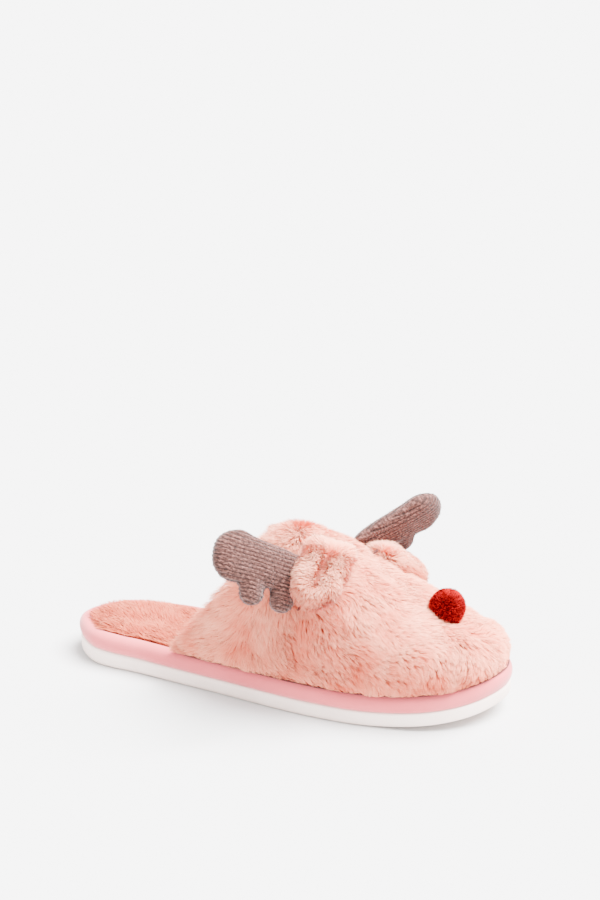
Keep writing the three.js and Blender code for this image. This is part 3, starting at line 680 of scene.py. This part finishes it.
def build_footbed(settings):
    """A soft pad between the footbed's insets, and short pile that lies towards the heel."""
    def dish(xy, share):
        lumps = 0.4 * value_noise(np.concatenate([xy, xy[:, :1] * 0], -1), 18.0, 8)
        return outsole_top(xy[:, 0]) + 9.0 + 0.9 * smooth(share, 0.0, 0.12) + lumps * smooth(share, 0.0, 0.1)

    top = spine_rows(TURN, FOOTBED_INSET - 2.6, np.linspace(0, 1, 40), dish)
    low = path_rings([(FOOTBED_INSET + 4, 7.2), (FOOTBED_INSET, 7.2), (FOOTBED_INSET - 2.0, 8.4)])
    under = spine_rows(TURN, FOOTBED_INSET + 4, np.linspace(1, 0, 8),
                       lambda xy, share: outsole_top(xy[:, 0]) + 7.2)
    obj = surface("footbed_pad", np.concatenate([under[:-1], low, top]), False, True)
    base = cloth_material("Plush backing", PLUSH_BODY, PLUSH_ROOT, 0.95, 90, 1800, 0.0004)
    finish_piece(obj, base, "root", "coral_plush", "footbed_plush")
    rng = np.random.default_rng(11)
    ring = np.concatenate([top, top[:, :1]], 1).swapaxes(0, 1)[:, ::-1]
    centre = (ring[:-1, :-1, 0] + ring[1:, 1:, 0]) / 2
    weight = np.where(centre < -10, 1.0, 0.25)
    place, normal, _, _, _ = scatter(ring, settings.footbed_strands, rng, weight)
    normal = normal * np.sign(normal[:, 2:3])
    swirl = value_noise(place, 22.0, 21) * 48 + value_noise(place, 7.0, 22) * 30
    flow = turned(np.tile([[-1.0, 0.15, 0.0]], (len(place), 1)), normal, swirl)
    length = 5.0 + value_noise(place, 9.0, 23) * 1.2 + rng.normal(0, 0.4, len(place))
    tone = 0.6 + value_noise(place, 8.0, 24) * 0.35 + rng.normal(0, 0.12, len(place))
    strands = pile("footbed_pile", place - normal * 0.4, normal, flow, length, 15, 50, 0.3, tone, rng,
                   1.8, 0.35, 5, shading=0.85)
    finish_piece(strands, strand_material("Plush strands", PLUSH_ROOT, PLUSH_BODY, PLUSH_TIP, PLUSH_DARK),
                 "root", "coral_plush")


# ---- Upper ----


def shell(name, outer_inset, inner_inset, lumps=0.0, rows=70, cols=90):
    """A closed shell between two insets of the upper; its rims close at the middle of its thickness."""
    shares = np.concatenate([[0], np.linspace(0.004, 1, rows)])
    degrees = np.linspace(0, 180, cols)
    outer = vamp_grid(outer_inset, shares, degrees)
    if lumps:
        normal = unit(np.cross(np.gradient(outer, axis=0), np.gradient(outer, axis=1)))
        outer = outer + normal * (lumps * value_noise(outer, 14.0, 31))[..., None]
    inner = vamp_grid(inner_inset, shares, degrees)[:, ::-1]
    middle = vamp_grid((outer_inset + inner_inset) / 2, shares, degrees)
    grid = np.concatenate([outer, inner], 1)
    grid[0] = np.concatenate([middle[0], middle[0, ::-1]])
    grid[-1] = grid[-1].mean(0)
    return surface(name, grid, False, True)


def fur_floor(seed):
    """Lowest height of pile: the top of the rand's roll, falling off past its edge."""
    def lowest(line):
        x, y = line[..., 0], line[..., 1]
        noise = value_noise(np.stack([x, y, x * 0], -1), 5.0, seed)
        return outsole_top(x) + RAND_HEIGHT + 0.3 + noise * 0.9
    return lowest


def build_upper(settings):
    """Backing cloth, lining and edge tape of the upper, and six patches of pile over them."""
    hide = shell("fur_backing", FUR_DEPTH, FUR_THICKNESS, 0.6)
    finish_piece(hide, backing_material(), "root", "fur", "vamp_fur")
    lining = cloth_material("Lining cloth", LINING_LIGHT, LINING_SHADE, 0.95, 80, 1500, 0.0004)
    cloth = shell("lining_cloth", *LINING_INSETS)
    finish_piece(cloth, lining, "root", "lining", "vamp_lining")
    degrees = np.linspace(0, 180, 140)
    rows = [(4.0, -0.6), (4.0, -1.8), (7.2, -2.4), (10.6, -1.8), (10.6, -0.6), (7.2, -0.4)]
    band = np.stack([vamp_point(inset, 0.0, degrees) + np.array([back, 0, 0.2]) for inset, back in rows])
    rim_line = band.mean(0)[None]
    tape = surface("topline_band", np.concatenate([rim_line, band, band[:1], rim_line]))
    finish_piece(tape, lining, "root", "lining", "topline_tape")
    for side, low, high in (("outer", 0, 58), ("ridge", 58, 122), ("inner", 122, 180)):
        for end, start, stop in (("back", 0.0, 0.42), ("front", 0.42, 0.995)):
            fur_patch(side + "_" + end, (start, stop), (low, high), settings)


FUR_DEPTH = 2.2  # from the CAD fur's face in to the roots
LINING_INSETS = (9.2, 11.0)


def fur_flow(place, normal, forward, along, rng):
    """Which way the fur lies: forward and down over the body, down at the toe, and back over the rear third. At
    the parting it lies across to the outer side. Slow noise turns it."""
    front = smooth(along, 0.5, 0.8)[:, None]
    sideways = np.sign(place[:, 1:2]) * 0.35
    lie = np.concatenate([0.8 - 0.65 * front, sideways * front, -0.75 - 0.35 * front], 1)
    edge = (1 - smooth(along, 0.04, 0.24))[:, None]
    across = np.exp(-((edge - 0.5) / 0.3) ** 2) * np.array([[0.0, -1.1, 0.0]])
    lie = lie * (1 - edge) - (forward + [0, 0, 0.35]) * edge + across
    lie = unit(lie - normal * np.sum(lie * normal, -1, keepdims=True))
    swirl = value_noise(place, 26.0, 51) * 42 + value_noise(place, 8.0, 52) * 42
    lie = turned(lie, normal, swirl * (1 - 0.65 * edge[:, 0]))
    tilt = rng.normal(size=(len(place), 3)) * 0.16
    return unit(lie + tilt - normal * np.sum(tilt * normal, -1, keepdims=True))


def fur_patch(name, shares, degrees, settings):
    """Tufted pile over one patch of the upper. Length, tilt and tone follow noise at two sizes, and the tone is
    painted lighter where the pile faces up, as painted light from above; the pile is shorter at the toe, by the
    rand and round the nose."""
    rng = np.random.default_rng(sum(map(ord, name)))
    grid = vamp_grid(FUR_DEPTH, np.linspace(*shares, 90), np.linspace(*degrees, 50))
    place, normal, forward, _, share = scatter(grid, settings.fur_strands, rng)
    count = len(place)
    along = shares[0] + (shares[1] - shares[0]) * share[:, 0]
    flow = fur_flow(place, normal, forward, along, rng)
    swell = value_noise(place, 12.0, 53) + 0.7 * value_noise(place, 5.0, 54)
    length = 8.9 + swell * 1.7 + rng.normal(0, 0.7, count)
    length = length * (1 - 0.3 * smooth(along, 0.7, 1.0))
    rise = place[:, 2] - outsole_top(place[:, 0]) - VAMP_BASE
    length = length * (0.5 + 0.5 * smooth(rise, 0.0, 9.0))
    near_nose = 1 - smooth(np.linalg.norm(place - NOSE_CENTRE, axis=-1), 9.0, 15.0)
    length = length * (1 - 0.5 * near_nose)
    stand = value_noise(place, 7.0, 55) * 13 + rng.normal(0, 6, count)
    rear = 1 - smooth(along, 0.1, 0.3)
    lit = unit(normal + (1 - smooth(along, 0.0, 0.07))[:, None] * [-0.9, 0.0, 0.9])
    # Painted light: strands are lighter where the pile faces up. They are also lighter towards the opening and
    # mottled by noise.
    tone = (0.3 + 0.45 * smooth(normal[:, 2], 0.1, 0.8) + 0.28 * rear + value_noise(place, 11.0, 56) * 0.3
            + value_noise(place, 4.0, 57) * 0.22 + rng.normal(0, 0.13, count))
    strands = pile("fur_pile_" + name, place, normal, flow, length, 12 - 0.3 * stand, 50 - stand,
                   settings.strand_width / MM, tone, rng, 3.0, 0.5 - 0.3 * rear, 9, fur_floor(61), 0.7, lit)
    finish_piece(strands, fur_material(), "root", "fur")


# ---- Nose ----


def nose_place():
    """Middle of the pompom, and the way out of the fur there, from its own CAD solid and its tie's."""
    low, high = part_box("nose_pompom")
    centre = (np.array(low) + np.array(high)) / 2 / MM
    tie_low, tie_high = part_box("nose_tie")
    tie = (np.array(tie_low) + np.array(tie_high)) / 2 / MM
    return centre, unit(centre - tie)


NOSE_CENTRE, NOSE_OUT = nose_place()


def ball_grid(centre, radius, rows=40, cols=80):
    polar, turn = np.meshgrid(np.linspace(0, math.pi, rows), np.linspace(0, 2 * math.pi, cols), indexing="ij")
    ball = np.stack([np.sin(polar) * np.cos(turn), np.sin(polar) * np.sin(turn), np.cos(polar)], -1)
    return centre + ball * radius


def build_nose(settings):
    """A ball of cut yarn: strands straight out from 7.2 mm, 3.7 mm long and trimmed unevenly, round a core of
    8.2 mm radius and over a wound tie."""
    rng = np.random.default_rng(71)
    core = surface("pompom_core", ball_grid(NOSE_CENTRE, 8.2)[:, :-1], False, True)
    core_cloth = cloth_material("Yarn core", RED_BODY, RED_ROOT, 0.9, 300, 2200, 0.0004)
    finish_piece(core, core_cloth, "nose", "red_yarn", "nose_pompom")
    place, normal, across, _, _ = scatter(ball_grid(NOSE_CENTRE, 7.2), settings.pompom_strands, rng)
    count = len(place)
    flow = unit(np.cross(normal, rng.normal(size=(count, 3))))
    bulge = value_noise(place, 3.0, 72) * 0.5 + value_noise(place, 9.0, 73) * 0.5
    length = 3.7 + bulge + rng.normal(0, 0.16, count)
    tone = 0.6 + value_noise(place, 2.2, 74) * 0.4 + rng.normal(0, 0.15, count)
    strands = pile("pompom_yarn", place, normal, flow, length, 8, 14, 0.34, tone, rng, 1.6, 0.35, 12, None, 0.45)
    finish_piece(strands, strand_material("Red yarn", RED_ROOT, RED_BODY, RED_TIP, (170, 120, 120), 0.9, 0.0),
                 "nose", "red_yarn")
    turn = np.linspace(0, 6 * math.pi, 90)
    base = NOSE_CENTRE - NOSE_OUT * 10.6
    side = unit(np.cross(NOSE_OUT, [0, 1, 0]))
    wind = (base - NOSE_OUT * np.linspace(0, 1.2, 90)[:, None]
            + (np.cos(turn)[:, None] * side + np.sin(turn)[:, None] * np.array([0, 1, 0])) * 1.0)
    knot = tube("nose_knot_thread", wind, 0.45, 7)
    finish_piece(knot, thread_material(), "nose_knot", "thread", "nose_tie")


# ---- Antlers ----
PALM_MIDDLE = (23.5, -1.0)
KNIT_ROW, KNIT_STITCH = 2.2, 1.9  # spacing of the rows and of the stitches along them
LOBES = [  # start, end, and the radius at each, in the antler's plane
    ((9.5, -3.0), (45.5, -2.5), 10.5, 14.2), ((12.0, 0.0), (11.5, 13.0), 7.4, 7.2),
    ((35.0, 0.0), (31.0, 14.0), 7.8, 7.0), ((0.0, -6.5), (0.0, 6.5), 4.2, 4.2),
]
# Place on the upper, directions towards the tip and along the fold, twist of the palm in degrees, and the shift
# of the whole antler from its solid. It still turns about its solid's joint.
ANTLERS = {
    "antler_right": (0.272, 50, (0.64, 0.0, -0.77), (0, 1, -0.13), 0, (0, 0, 0)),
    "antler_left": (0.272, 133, (0.72, -0.05, 0.69), (0, 0.97, -0.25), -6, (4.5, 0, -5.0)),
}


def antler_field(x, y):
    """Distance from the antler's outline, below 0 inside: its lobes' distances joined by a soft minimum."""
    total = 0
    for (x0, y0), (x1, y1), near, far in LOBES:
        dx, dy = x1 - x0, y1 - y0
        t = np.clip(((x - x0) * dx + (y - y0) * dy) / (dx * dx + dy * dy), 0, 1)
        radius = near + (far - near) * t
        total = total + np.exp(-(np.hypot(x - x0 - t * dx, y - y0 - t * dy) - radius) / 1.1)
    return -1.1 * np.log(np.maximum(total, 1e-30))


def antler_grid(rows=60, turns=420):
    """Grid over both faces: rings round the outline, closed up to a middle point. The half thickness at a depth
    d from the outline is 6.2 sqrt(1 - (1 - d/9)^2), and less towards the root."""
    middle = np.array(PALM_MIDDLE)
    turn = np.linspace(0, 2 * math.pi, turns, endpoint=False)
    reach = np.linspace(0, 46, 900)
    x = middle[0] + np.cos(turn)[:, None] * reach
    y = middle[1] + np.sin(turn)[:, None] * reach
    inside = antler_field(x, y) < 0
    edge = reach[inside.shape[1] - 1 - np.argmax(inside[:, ::-1], 1)]
    edge = (np.roll(edge, 1) + 2 * edge + np.roll(edge, -1)) / 4
    ring = np.sin(np.linspace(0, math.pi / 2, rows)) ** 0.85
    x = middle[0] + np.cos(turn) * edge * ring[:, None]
    y = middle[1] + np.sin(turn) * edge * ring[:, None]
    depth = np.clip(-antler_field(x, y), 0, 9) / 9
    depth[-1] = 0
    swell = 6.2 * np.sqrt(np.maximum(1 - (1 - depth) ** 2, 0)) * (0.62 + 0.38 * smooth(x, -2, 14))
    top = np.stack([x, y, swell], -1)
    bottom = np.stack([x, y, -swell], -1)[::-1][1:]
    return np.concatenate([top, bottom])


def twisted(points, degrees):
    """Points turned about the antler's own X, from nothing at its root to the whole angle at x = 24."""
    angle = np.radians(degrees) * smooth(points[..., 0], 0, 24)
    y = points[..., 1] * np.cos(angle) - points[..., 2] * np.sin(angle)
    z = points[..., 1] * np.sin(angle) + points[..., 2] * np.cos(angle)
    return np.stack([points[..., 0], y, z], -1)


def build_antler(name, settings):
    """The stuffed outline, raised by knitted rows every 2.2 mm: 0.5 |sin(pi y / 2.2)|^0.8, broken by slanted
    stitches, with loose fibre over it."""
    share, degrees, tip, fold, twist, shift = ANTLERS[name]
    origin, axes = joint_frame(name + "_fold", tip, fold, share, degrees)
    origin = origin + shift
    local = antler_grid()
    normal = unit(np.cross(np.gradient(local, axis=1), np.gradient(local, axis=0)))
    normal = normal * np.sign(np.sum(normal * (local - [*PALM_MIDDLE, 0]), -1, keepdims=True) + 1e-9)
    wander = value_noise(local, 12.0, 81) * 0.6
    row = np.abs(np.sin(math.pi * (local[..., 1] + wander) / KNIT_ROW)) ** 0.8
    slant = np.abs((local[..., 1] + wander) / KNIT_ROW % 1 - 0.5)
    stitch = 0.5 + 0.5 * np.cos(2 * math.pi * (local[..., 0] / KNIT_STITCH + slant * 1.4))
    facing = smooth(np.abs(normal[..., 2]), 0.05, 0.4)
    raised = 0.5 * (row - 0.5) * (0.1 + 0.9 * facing) + 0.16 * (stitch - 0.5) * facing
    raised = raised + value_noise(local, 9.0, 82) * 0.5
    shaped = local + normal * raised[..., None]
    grid = origin + twisted(shaped, twist) @ axes
    rows, cols = grid.shape[:2]
    quads = grid_quads(rows, cols, False, True)
    lower_face = np.where(np.arange(rows) < rows // 2, 0, 0.43)[:, None, None]
    uv = (local[..., :2] + 40) / 130 + lower_face * [0, 1]
    obj = mesh_object(name + "_knit", grid.reshape(-1, 3), quads, [], uv.reshape(-1, 2), None, False)
    # The groove attribute is painted shade: it is darker in the hollows between the rows where the antler faces
    # flat.
    groove = obj.data.attributes.new("groove", "FLOAT", "POINT")
    shade = 1 - (1 - smooth(row, 0.05, 0.75)) * facing
    groove.data.foreach_set("value", shade.astype(np.float32).ravel())
    weld_seams(obj.data)
    finish_piece(obj, knit_material(), name, "knit", name + "_cover")
    core = twisted(local[::4, ::6] * [0.95, 0.62, 0.6] + [1.2, 0, 0], twist)
    stuffing = surface(name + "_stuffing", origin + core @ axes, False, True)
    finish_piece(stuffing, cloth_material("Stuffing", (246, 244, 240), (234, 231, 226), 0.9, 80, 900, 0.0002),
                 name, "stuffing", name + "_filling")
    rng = np.random.default_rng(83)
    wrapped = np.concatenate([grid, grid[:, :1]], 1)
    place, out, _, _, _ = scatter(wrapped, settings.fuzz_strands, rng)
    middle = origin + np.array([PALM_MIDDLE[0], 0, 0]) @ axes
    out = out * np.sign(np.sum(out * (place - middle)))
    flow = unit(np.cross(out, rng.normal(size=out.shape)))
    strands = pile(name + "_fuzz", place - out * 0.1, out, flow, spread(rng, len(place), 0.9, 2.0), 40, 68, 0.13,
                   rng.random(len(place)), rng, shading=0.5)
    finish_piece(strands, strand_material("Knit fibre", KNIT_BODY, KNIT_LIGHT, KNIT_LIGHT, (150, 130, 128)),
                 name, "knit")


# ---- Ears ----
EAR_OUTLINE = [(-6.5, 0), (-4.5, -10), (8, -11.6), (24, -11.4), (36, -8.6), (41.0, 0), (36, 8.6), (24, 11.4),
               (8, 11.6), (-4.5, 10)]
# Place on the upper, directions towards the tip and along the fold, the shift of the whole ear from its solid,
# and its share of the solid's length. It still turns about its solid's joint, which lies off the drawn root.
EARS = {
    "ear_right": (0.325, 72, (0.17, 0.98, 0.0), (0.2, 0, 0.97), (-4.5, 0.0, 3.5), 1.0),
    "ear_left": (0.335, 109, (0.14, 0.66, 0.73), (0, 0.55, -0.83), (7.0, 6.0, -13.0), 0.68),
}
# Across the ear from its middle line, 0, to its edge, 1, over the top and back underneath: (share, height)
EAR_SECTION = [(0.0, -1.2), (0.04, 0.0), (0.12, 2.8), (0.34, 4.9), (0.7, 4.4), (0.92, 2.2), (1.0, 0.0),
               (0.95, -1.6), (0.7, -2.8), (0.35, -3.1), (0.0, -3.1)]


EAR_SPINE = (6, 31)  # ends of the ear's middle line
EAR_DROOP = -0.0035  # height per square millimetre from the root


def ear_grid(rows=180, cols=60):
    """Rings round the leaf's outline, closed up to its middle line, at the heights of the ear's section."""
    turn = np.linspace(0, 1, rows, endpoint=False)
    edge = curve(EAR_OUTLINE, turn, True)
    spine = np.stack([np.clip(edge[:, 0], *EAR_SPINE), np.zeros(rows)], -1)
    section = curve(EAR_SECTION, np.linspace(0, 1, cols))
    xy = spine[:, None] + (edge - spine)[:, None] * section[None, :, :1]
    root = 0.55 + 0.45 * smooth(xy[..., 0], 0, 12)
    z = section[None, :, 1] * root
    droop = EAR_DROOP * xy[..., 0] ** 2
    cup = 0.012 * xy[..., 1] ** 2
    return np.concatenate([xy, (z + droop + cup)[..., None]], -1), section


def build_ear(name, settings):
    """A soft leaf with a thick rolled border round a sunken middle, under short pile that lies to the tip."""
    share, degrees, tip, fold, shift, reach = EARS[name]
    origin, axes = joint_frame(name + "_swing", tip, fold, share, degrees)
    origin = origin + shift
    local, section = ear_grid()
    local[..., 2] += value_noise(local, 8.0, 91) * 0.5
    local[..., 0] *= reach
    grid = origin + local @ axes
    obj = surface(name + "_leaf", grid, True, False)
    finish_piece(obj, backing_material(), name, "fur", name + "_outer", name + "_inner")
    rng = np.random.default_rng(92 if name == "ear_right" else 93)
    wrapped = np.concatenate([grid, grid[:1]], 0)
    place, normal, _, _, shares = scatter(wrapped, settings.ear_strands, rng)
    own = (place - origin) @ axes.T
    hub = np.stack([np.clip(own[:, 0], *EAR_SPINE), own[:, 0] * 0, EAR_DROOP * own[:, 0] ** 2], -1)
    outward = unit(place - (origin + hub @ axes))
    normal = normal * np.sign(np.sum(normal * outward))
    across = shares[:, 1] * (len(section) - 1)
    inner = (across < 0.16 * (len(section) - 1)) & (own[:, 0] > 2)
    towards_tip = 0.8 * smooth(own[:, :1], -4, 10)
    flow = unit(axes[0] * towards_tip + outward * (0.9 - 0.65 * smooth(own[:, :1], -4, 10))
                + 0.2 * rng.normal(size=place.shape))
    flow = unit(flow - normal * np.sum(flow * normal, -1, keepdims=True) * 0.8)
    swirl = value_noise(place, 12.0, 94) * 35 + value_noise(place, 5.0, 95) * 30
    flow = turned(flow, normal, swirl)
    length = np.where(inner, 3.2, 5.2) + value_noise(place, 6.0, 96) * 1.0 + rng.normal(0, 0.4, len(place))
    # Painted shade and light: the pile in the sunken middle crease is darkest, and the pile is lighter where it
    # faces up.
    tone = np.where(inner, 0.1, 0.55 + 0.4 * smooth(normal[:, 2], 0.2, 0.9))
    tone = tone + value_noise(place, 6.0, 97) * 0.2 + rng.normal(0, 0.1, len(place))
    strands = pile(name + "_pile", place, normal, flow, length, 15, 48, 0.26, tone, rng, 1.6, 0.35, 14,
                   shading=0.85)
    finish_piece(strands, strand_material("Ear strands", EAR_ROOT, EAR_BODY, EAR_TIP, EAR_DARK), name, "fur")


# How far each tack is moved from its solid, into the pile below the shifted part.
TACK_SINK = {
    "antler_right": (0, 0, -2), "antler_left": (5, -5, -6),
    "ear_right": (-5, 1, -4), "ear_left": (2, 3, -6),
}


def build_tacks(settings):
    """At each end of a sewn-on part's root, three wound turns of thread along its fold line."""
    thread = thread_material()
    for name, sink in TACK_SINK.items():
        low, high = (np.array(corner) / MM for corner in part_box(name + "_tack"))
        middle, reach = (low + high) / 2 + sink, (high - low) * 0.3
        turn = np.linspace(-1, 1, 60)
        spin = turn * 3 * math.pi
        wound = 0.5 * np.stack([np.cos(spin), np.sin(spin), np.sin(spin)], -1)
        path = middle + reach * turn[:, None] + wound
        finish_piece(tube(name + "_stitch", path, 0.3, 6), thread, "root", "thread", name + "_tack")


def dress_hidden(settings):
    """The layers that never show keep their CAD shape and take a plain mottled finish each."""
    looks = {
        "platform_foam": ((232, 226, 218), (222, 214, 205)), "insole_board": ((190, 160, 122), (170, 140, 104)),
        "footbed_foam": ((244, 240, 231), (232, 226, 214)), "vamp_foam": ((244, 240, 231), (232, 226, 214)),
    }
    for node, (light, dark) in looks.items():
        shown = frame["nodes"][node]
        shown.data.materials.clear()
        finish = cloth_material("Hidden " + node.replace("_", " "), light, dark, 0.9, 80, 900, 0.0002)
        shown.data.materials.append(finish)


# ---- Stage ----
CAMERA_AZIMUTH, CAMERA_ELEVATION, CAMERA_DISTANCE = 21.0, 24.5, 1.1
CAMERA_LENS = 75.16
AIM_AZIMUTH, AIM_ELEVATION = 20.62, 19.08
AIM_POINT = (0.0, 0.0, 0.03)
FLOOR_HALF = 40.0  # metres
FLOOR_DARK, FLOOR_LIGHT = (0.62, 0.62, 0.62, 1), (0.624, 0.624, 0.624, 1)
SUN_FROM, SUN_DEGREES = (0.42, 0.18, 0.89), 45


def back_vector(azimuth, elevation):
    a, e = math.radians(azimuth), math.radians(elevation)
    return Vector((math.sin(a) * math.cos(e), -math.cos(a) * math.cos(e), math.sin(e)))


def build_stage(settings):
    """Pale floor, even dome light, one broad sun from the upper right and behind, and the camera."""
    mesh = bpy.data.meshes.new("floor")
    half = FLOOR_HALF
    corners = [(-half, -half, 0), (half, -half, 0), (half, half, 0), (-half, half, 0)]
    mesh.from_pydata(corners, [], [(0, 1, 2, 3)])
    floor = bpy.data.objects.new("floor", mesh)
    bpy.context.scene.collection.objects.link(floor)
    material, tree, principled = new_material("Floor")
    grain = group_node(tree, "Cloth grain", grain_group, {"Coarse": 2.0, "Fine": 600.0}).outputs
    color = tree.mix(grain["Mottle"], FLOOR_DARK, FLOOR_LIGHT)
    tree.tree.links.new(color, principled.inputs["Base Color"])
    principled.inputs["Roughness"].default_value = 1.0
    principled.inputs["Specular IOR Level"].default_value = 0.0
    mesh.materials.append(material)
    world = bpy.context.scene.world or bpy.data.worlds.new("World")
    bpy.context.scene.world = world
    world.use_nodes = True
    background = world.node_tree.nodes.get("Background") or world.node_tree.nodes.new("ShaderNodeBackground")
    background.inputs[0].default_value = (1.0, 1.0, 1.0, 1.0)
    background.inputs[1].default_value = settings.dome
    sun = bpy.data.lights.new("sun", "SUN")
    sun.energy = settings.sun
    sun.angle = math.radians(SUN_DEGREES)
    lamp = bpy.data.objects.new("sun", sun)
    lamp.rotation_euler = Vector(SUN_FROM).to_track_quat("Z", "Y").to_euler()
    bpy.context.scene.collection.objects.link(lamp)
    camera = bpy.data.cameras.new("camera")
    camera.lens = CAMERA_LENS
    camera.sensor_width = 36.0
    camera.sensor_fit = "AUTO"
    camera.clip_end = 200.0
    eye = bpy.data.objects.new("camera", camera)
    eye.location = Vector(AIM_POINT) + back_vector(CAMERA_AZIMUTH, CAMERA_ELEVATION) * CAMERA_DISTANCE
    eye.rotation_euler = back_vector(AIM_AZIMUTH, AIM_ELEVATION).to_track_quat("Z", "Y").to_euler()
    bpy.context.scene.collection.objects.link(eye)
    bpy.context.scene.camera = eye


# ---- Add-on ----


class SlipperSettings(bpy.types.PropertyGroup):
    fur_strands: bpy.props.IntProperty(
        name="Fur strands", description="Strands in each sixth of the upper's pile", default=33000, min=100,
        subtype="UNSIGNED")
    strand_width: bpy.props.FloatProperty(
        name="Strand width", description="Width of a fur strand at its root", default=0.00028, min=0.00005,
        precision=5, unit="LENGTH")
    footbed_strands: bpy.props.IntProperty(
        name="Footbed strands", description="Strands of the footbed's plush", default=31000, min=100,
        subtype="UNSIGNED")
    ear_strands: bpy.props.IntProperty(
        name="Ear strands", description="Strands on each ear", default=20000, min=100, subtype="UNSIGNED")
    pompom_strands: bpy.props.IntProperty(
        name="Pompom strands", description="Cut yarn ends in the nose", default=12000, min=100,
        subtype="UNSIGNED")
    fuzz_strands: bpy.props.IntProperty(
        name="Knit fuzz", description="Loose fibres on each antler", default=4000, min=100, subtype="UNSIGNED")
    dome: bpy.props.FloatProperty(
        name="Dome light", description="Strength of the even light from all round", default=2.6, min=0,
        subtype="UNSIGNED")
    sun: bpy.props.FloatProperty(
        name="Sun light", description="Strength of the broad key light", default=32.6, min=0, subtype="UNSIGNED")


def build_antlers(settings):
    for name in ANTLERS:
        build_antler(name, settings)


def build_ears(settings):
    for name in EARS:
        build_ear(name, settings)


class SLIPPER_OT_outsole(bpy.types.Operator):
    """Add the foam outsole with its tread"""
    bl_idname = "slipper.outsole"
    bl_label = "Outsole"

    def execute(self, context):
        build_outsole(context.scene.slipper_settings)
        return {"FINISHED"}


class SLIPPER_OT_rand(bpy.types.Operator):
    """Add the padded rand's skin"""
    bl_idname = "slipper.rand"
    bl_label = "Rand"

    def execute(self, context):
        build_rand(context.scene.slipper_settings)
        return {"FINISHED"}


class SLIPPER_OT_threads(bpy.types.Operator):
    """Add the threads along the sole"""
    bl_idname = "slipper.threads"
    bl_label = "Seam threads"

    def execute(self, context):
        build_threads(context.scene.slipper_settings)
        return {"FINISHED"}


class SLIPPER_OT_footbed(bpy.types.Operator):
    """Add the plush footbed"""
    bl_idname = "slipper.footbed"
    bl_label = "Footbed"

    def execute(self, context):
        build_footbed(context.scene.slipper_settings)
        return {"FINISHED"}


class SLIPPER_OT_upper(bpy.types.Operator):
    """Add the pile upper with its lining"""
    bl_idname = "slipper.upper"
    bl_label = "Upper"

    def execute(self, context):
        build_upper(context.scene.slipper_settings)
        return {"FINISHED"}


class SLIPPER_OT_nose(bpy.types.Operator):
    """Add the pompom nose and its tie"""
    bl_idname = "slipper.nose"
    bl_label = "Nose"

    def execute(self, context):
        build_nose(context.scene.slipper_settings)
        return {"FINISHED"}


class SLIPPER_OT_antlers(bpy.types.Operator):
    """Add both knitted antlers"""
    bl_idname = "slipper.antlers"
    bl_label = "Antlers"

    def execute(self, context):
        build_antlers(context.scene.slipper_settings)
        return {"FINISHED"}


class SLIPPER_OT_ears(bpy.types.Operator):
    """Add both ears"""
    bl_idname = "slipper.ears"
    bl_label = "Ears"

    def execute(self, context):
        build_ears(context.scene.slipper_settings)
        return {"FINISHED"}


class SLIPPER_OT_tacks(bpy.types.Operator):
    """Add the stitches of antlers and ears"""
    bl_idname = "slipper.tacks"
    bl_label = "Tacks"

    def execute(self, context):
        build_tacks(context.scene.slipper_settings)
        return {"FINISHED"}


class SLIPPER_OT_hidden(bpy.types.Operator):
    """Give the hidden layers their finishes"""
    bl_idname = "slipper.hidden"
    bl_label = "Hidden layers"

    def execute(self, context):
        dress_hidden(context.scene.slipper_settings)
        return {"FINISHED"}


class SLIPPER_OT_stage(bpy.types.Operator):
    """Add the floor, lights and camera"""
    bl_idname = "slipper.stage"
    bl_label = "Stage"

    def execute(self, context):
        build_stage(context.scene.slipper_settings)
        return {"FINISHED"}


OPERATORS = (
    SLIPPER_OT_outsole, SLIPPER_OT_rand, SLIPPER_OT_threads, SLIPPER_OT_footbed, SLIPPER_OT_upper,
    SLIPPER_OT_nose, SLIPPER_OT_antlers, SLIPPER_OT_ears, SLIPPER_OT_tacks, SLIPPER_OT_hidden, SLIPPER_OT_stage,
)


class SLIPPER_PT_panel(bpy.types.Panel):
    """Buttons for each piece of the slipper"""
    bl_label = "Slipper"
    bl_space_type = "VIEW_3D"
    bl_region_type = "UI"
    bl_category = "Slipper"

    def draw(self, context):
        for key in SlipperSettings.__annotations__:
            self.layout.prop(context.scene.slipper_settings, key)
        for kind in OPERATORS:
            self.layout.operator(kind.bl_idname)


CLASSES = (SlipperSettings, *OPERATORS, SLIPPER_PT_panel)


def register():
    for kind in CLASSES:
        bpy.utils.register_class(kind)
    bpy.types.Scene.slipper_settings = bpy.props.PointerProperty(type=SlipperSettings)


def unregister():
    del bpy.types.Scene.slipper_settings
    for kind in reversed(CLASSES):
        bpy.utils.unregister_class(kind)


def main():
    register()
    for kind in OPERATORS:
        getattr(bpy.ops.slipper, kind.bl_idname.split(".")[1])()


if __name__ == "__main__":
    main()
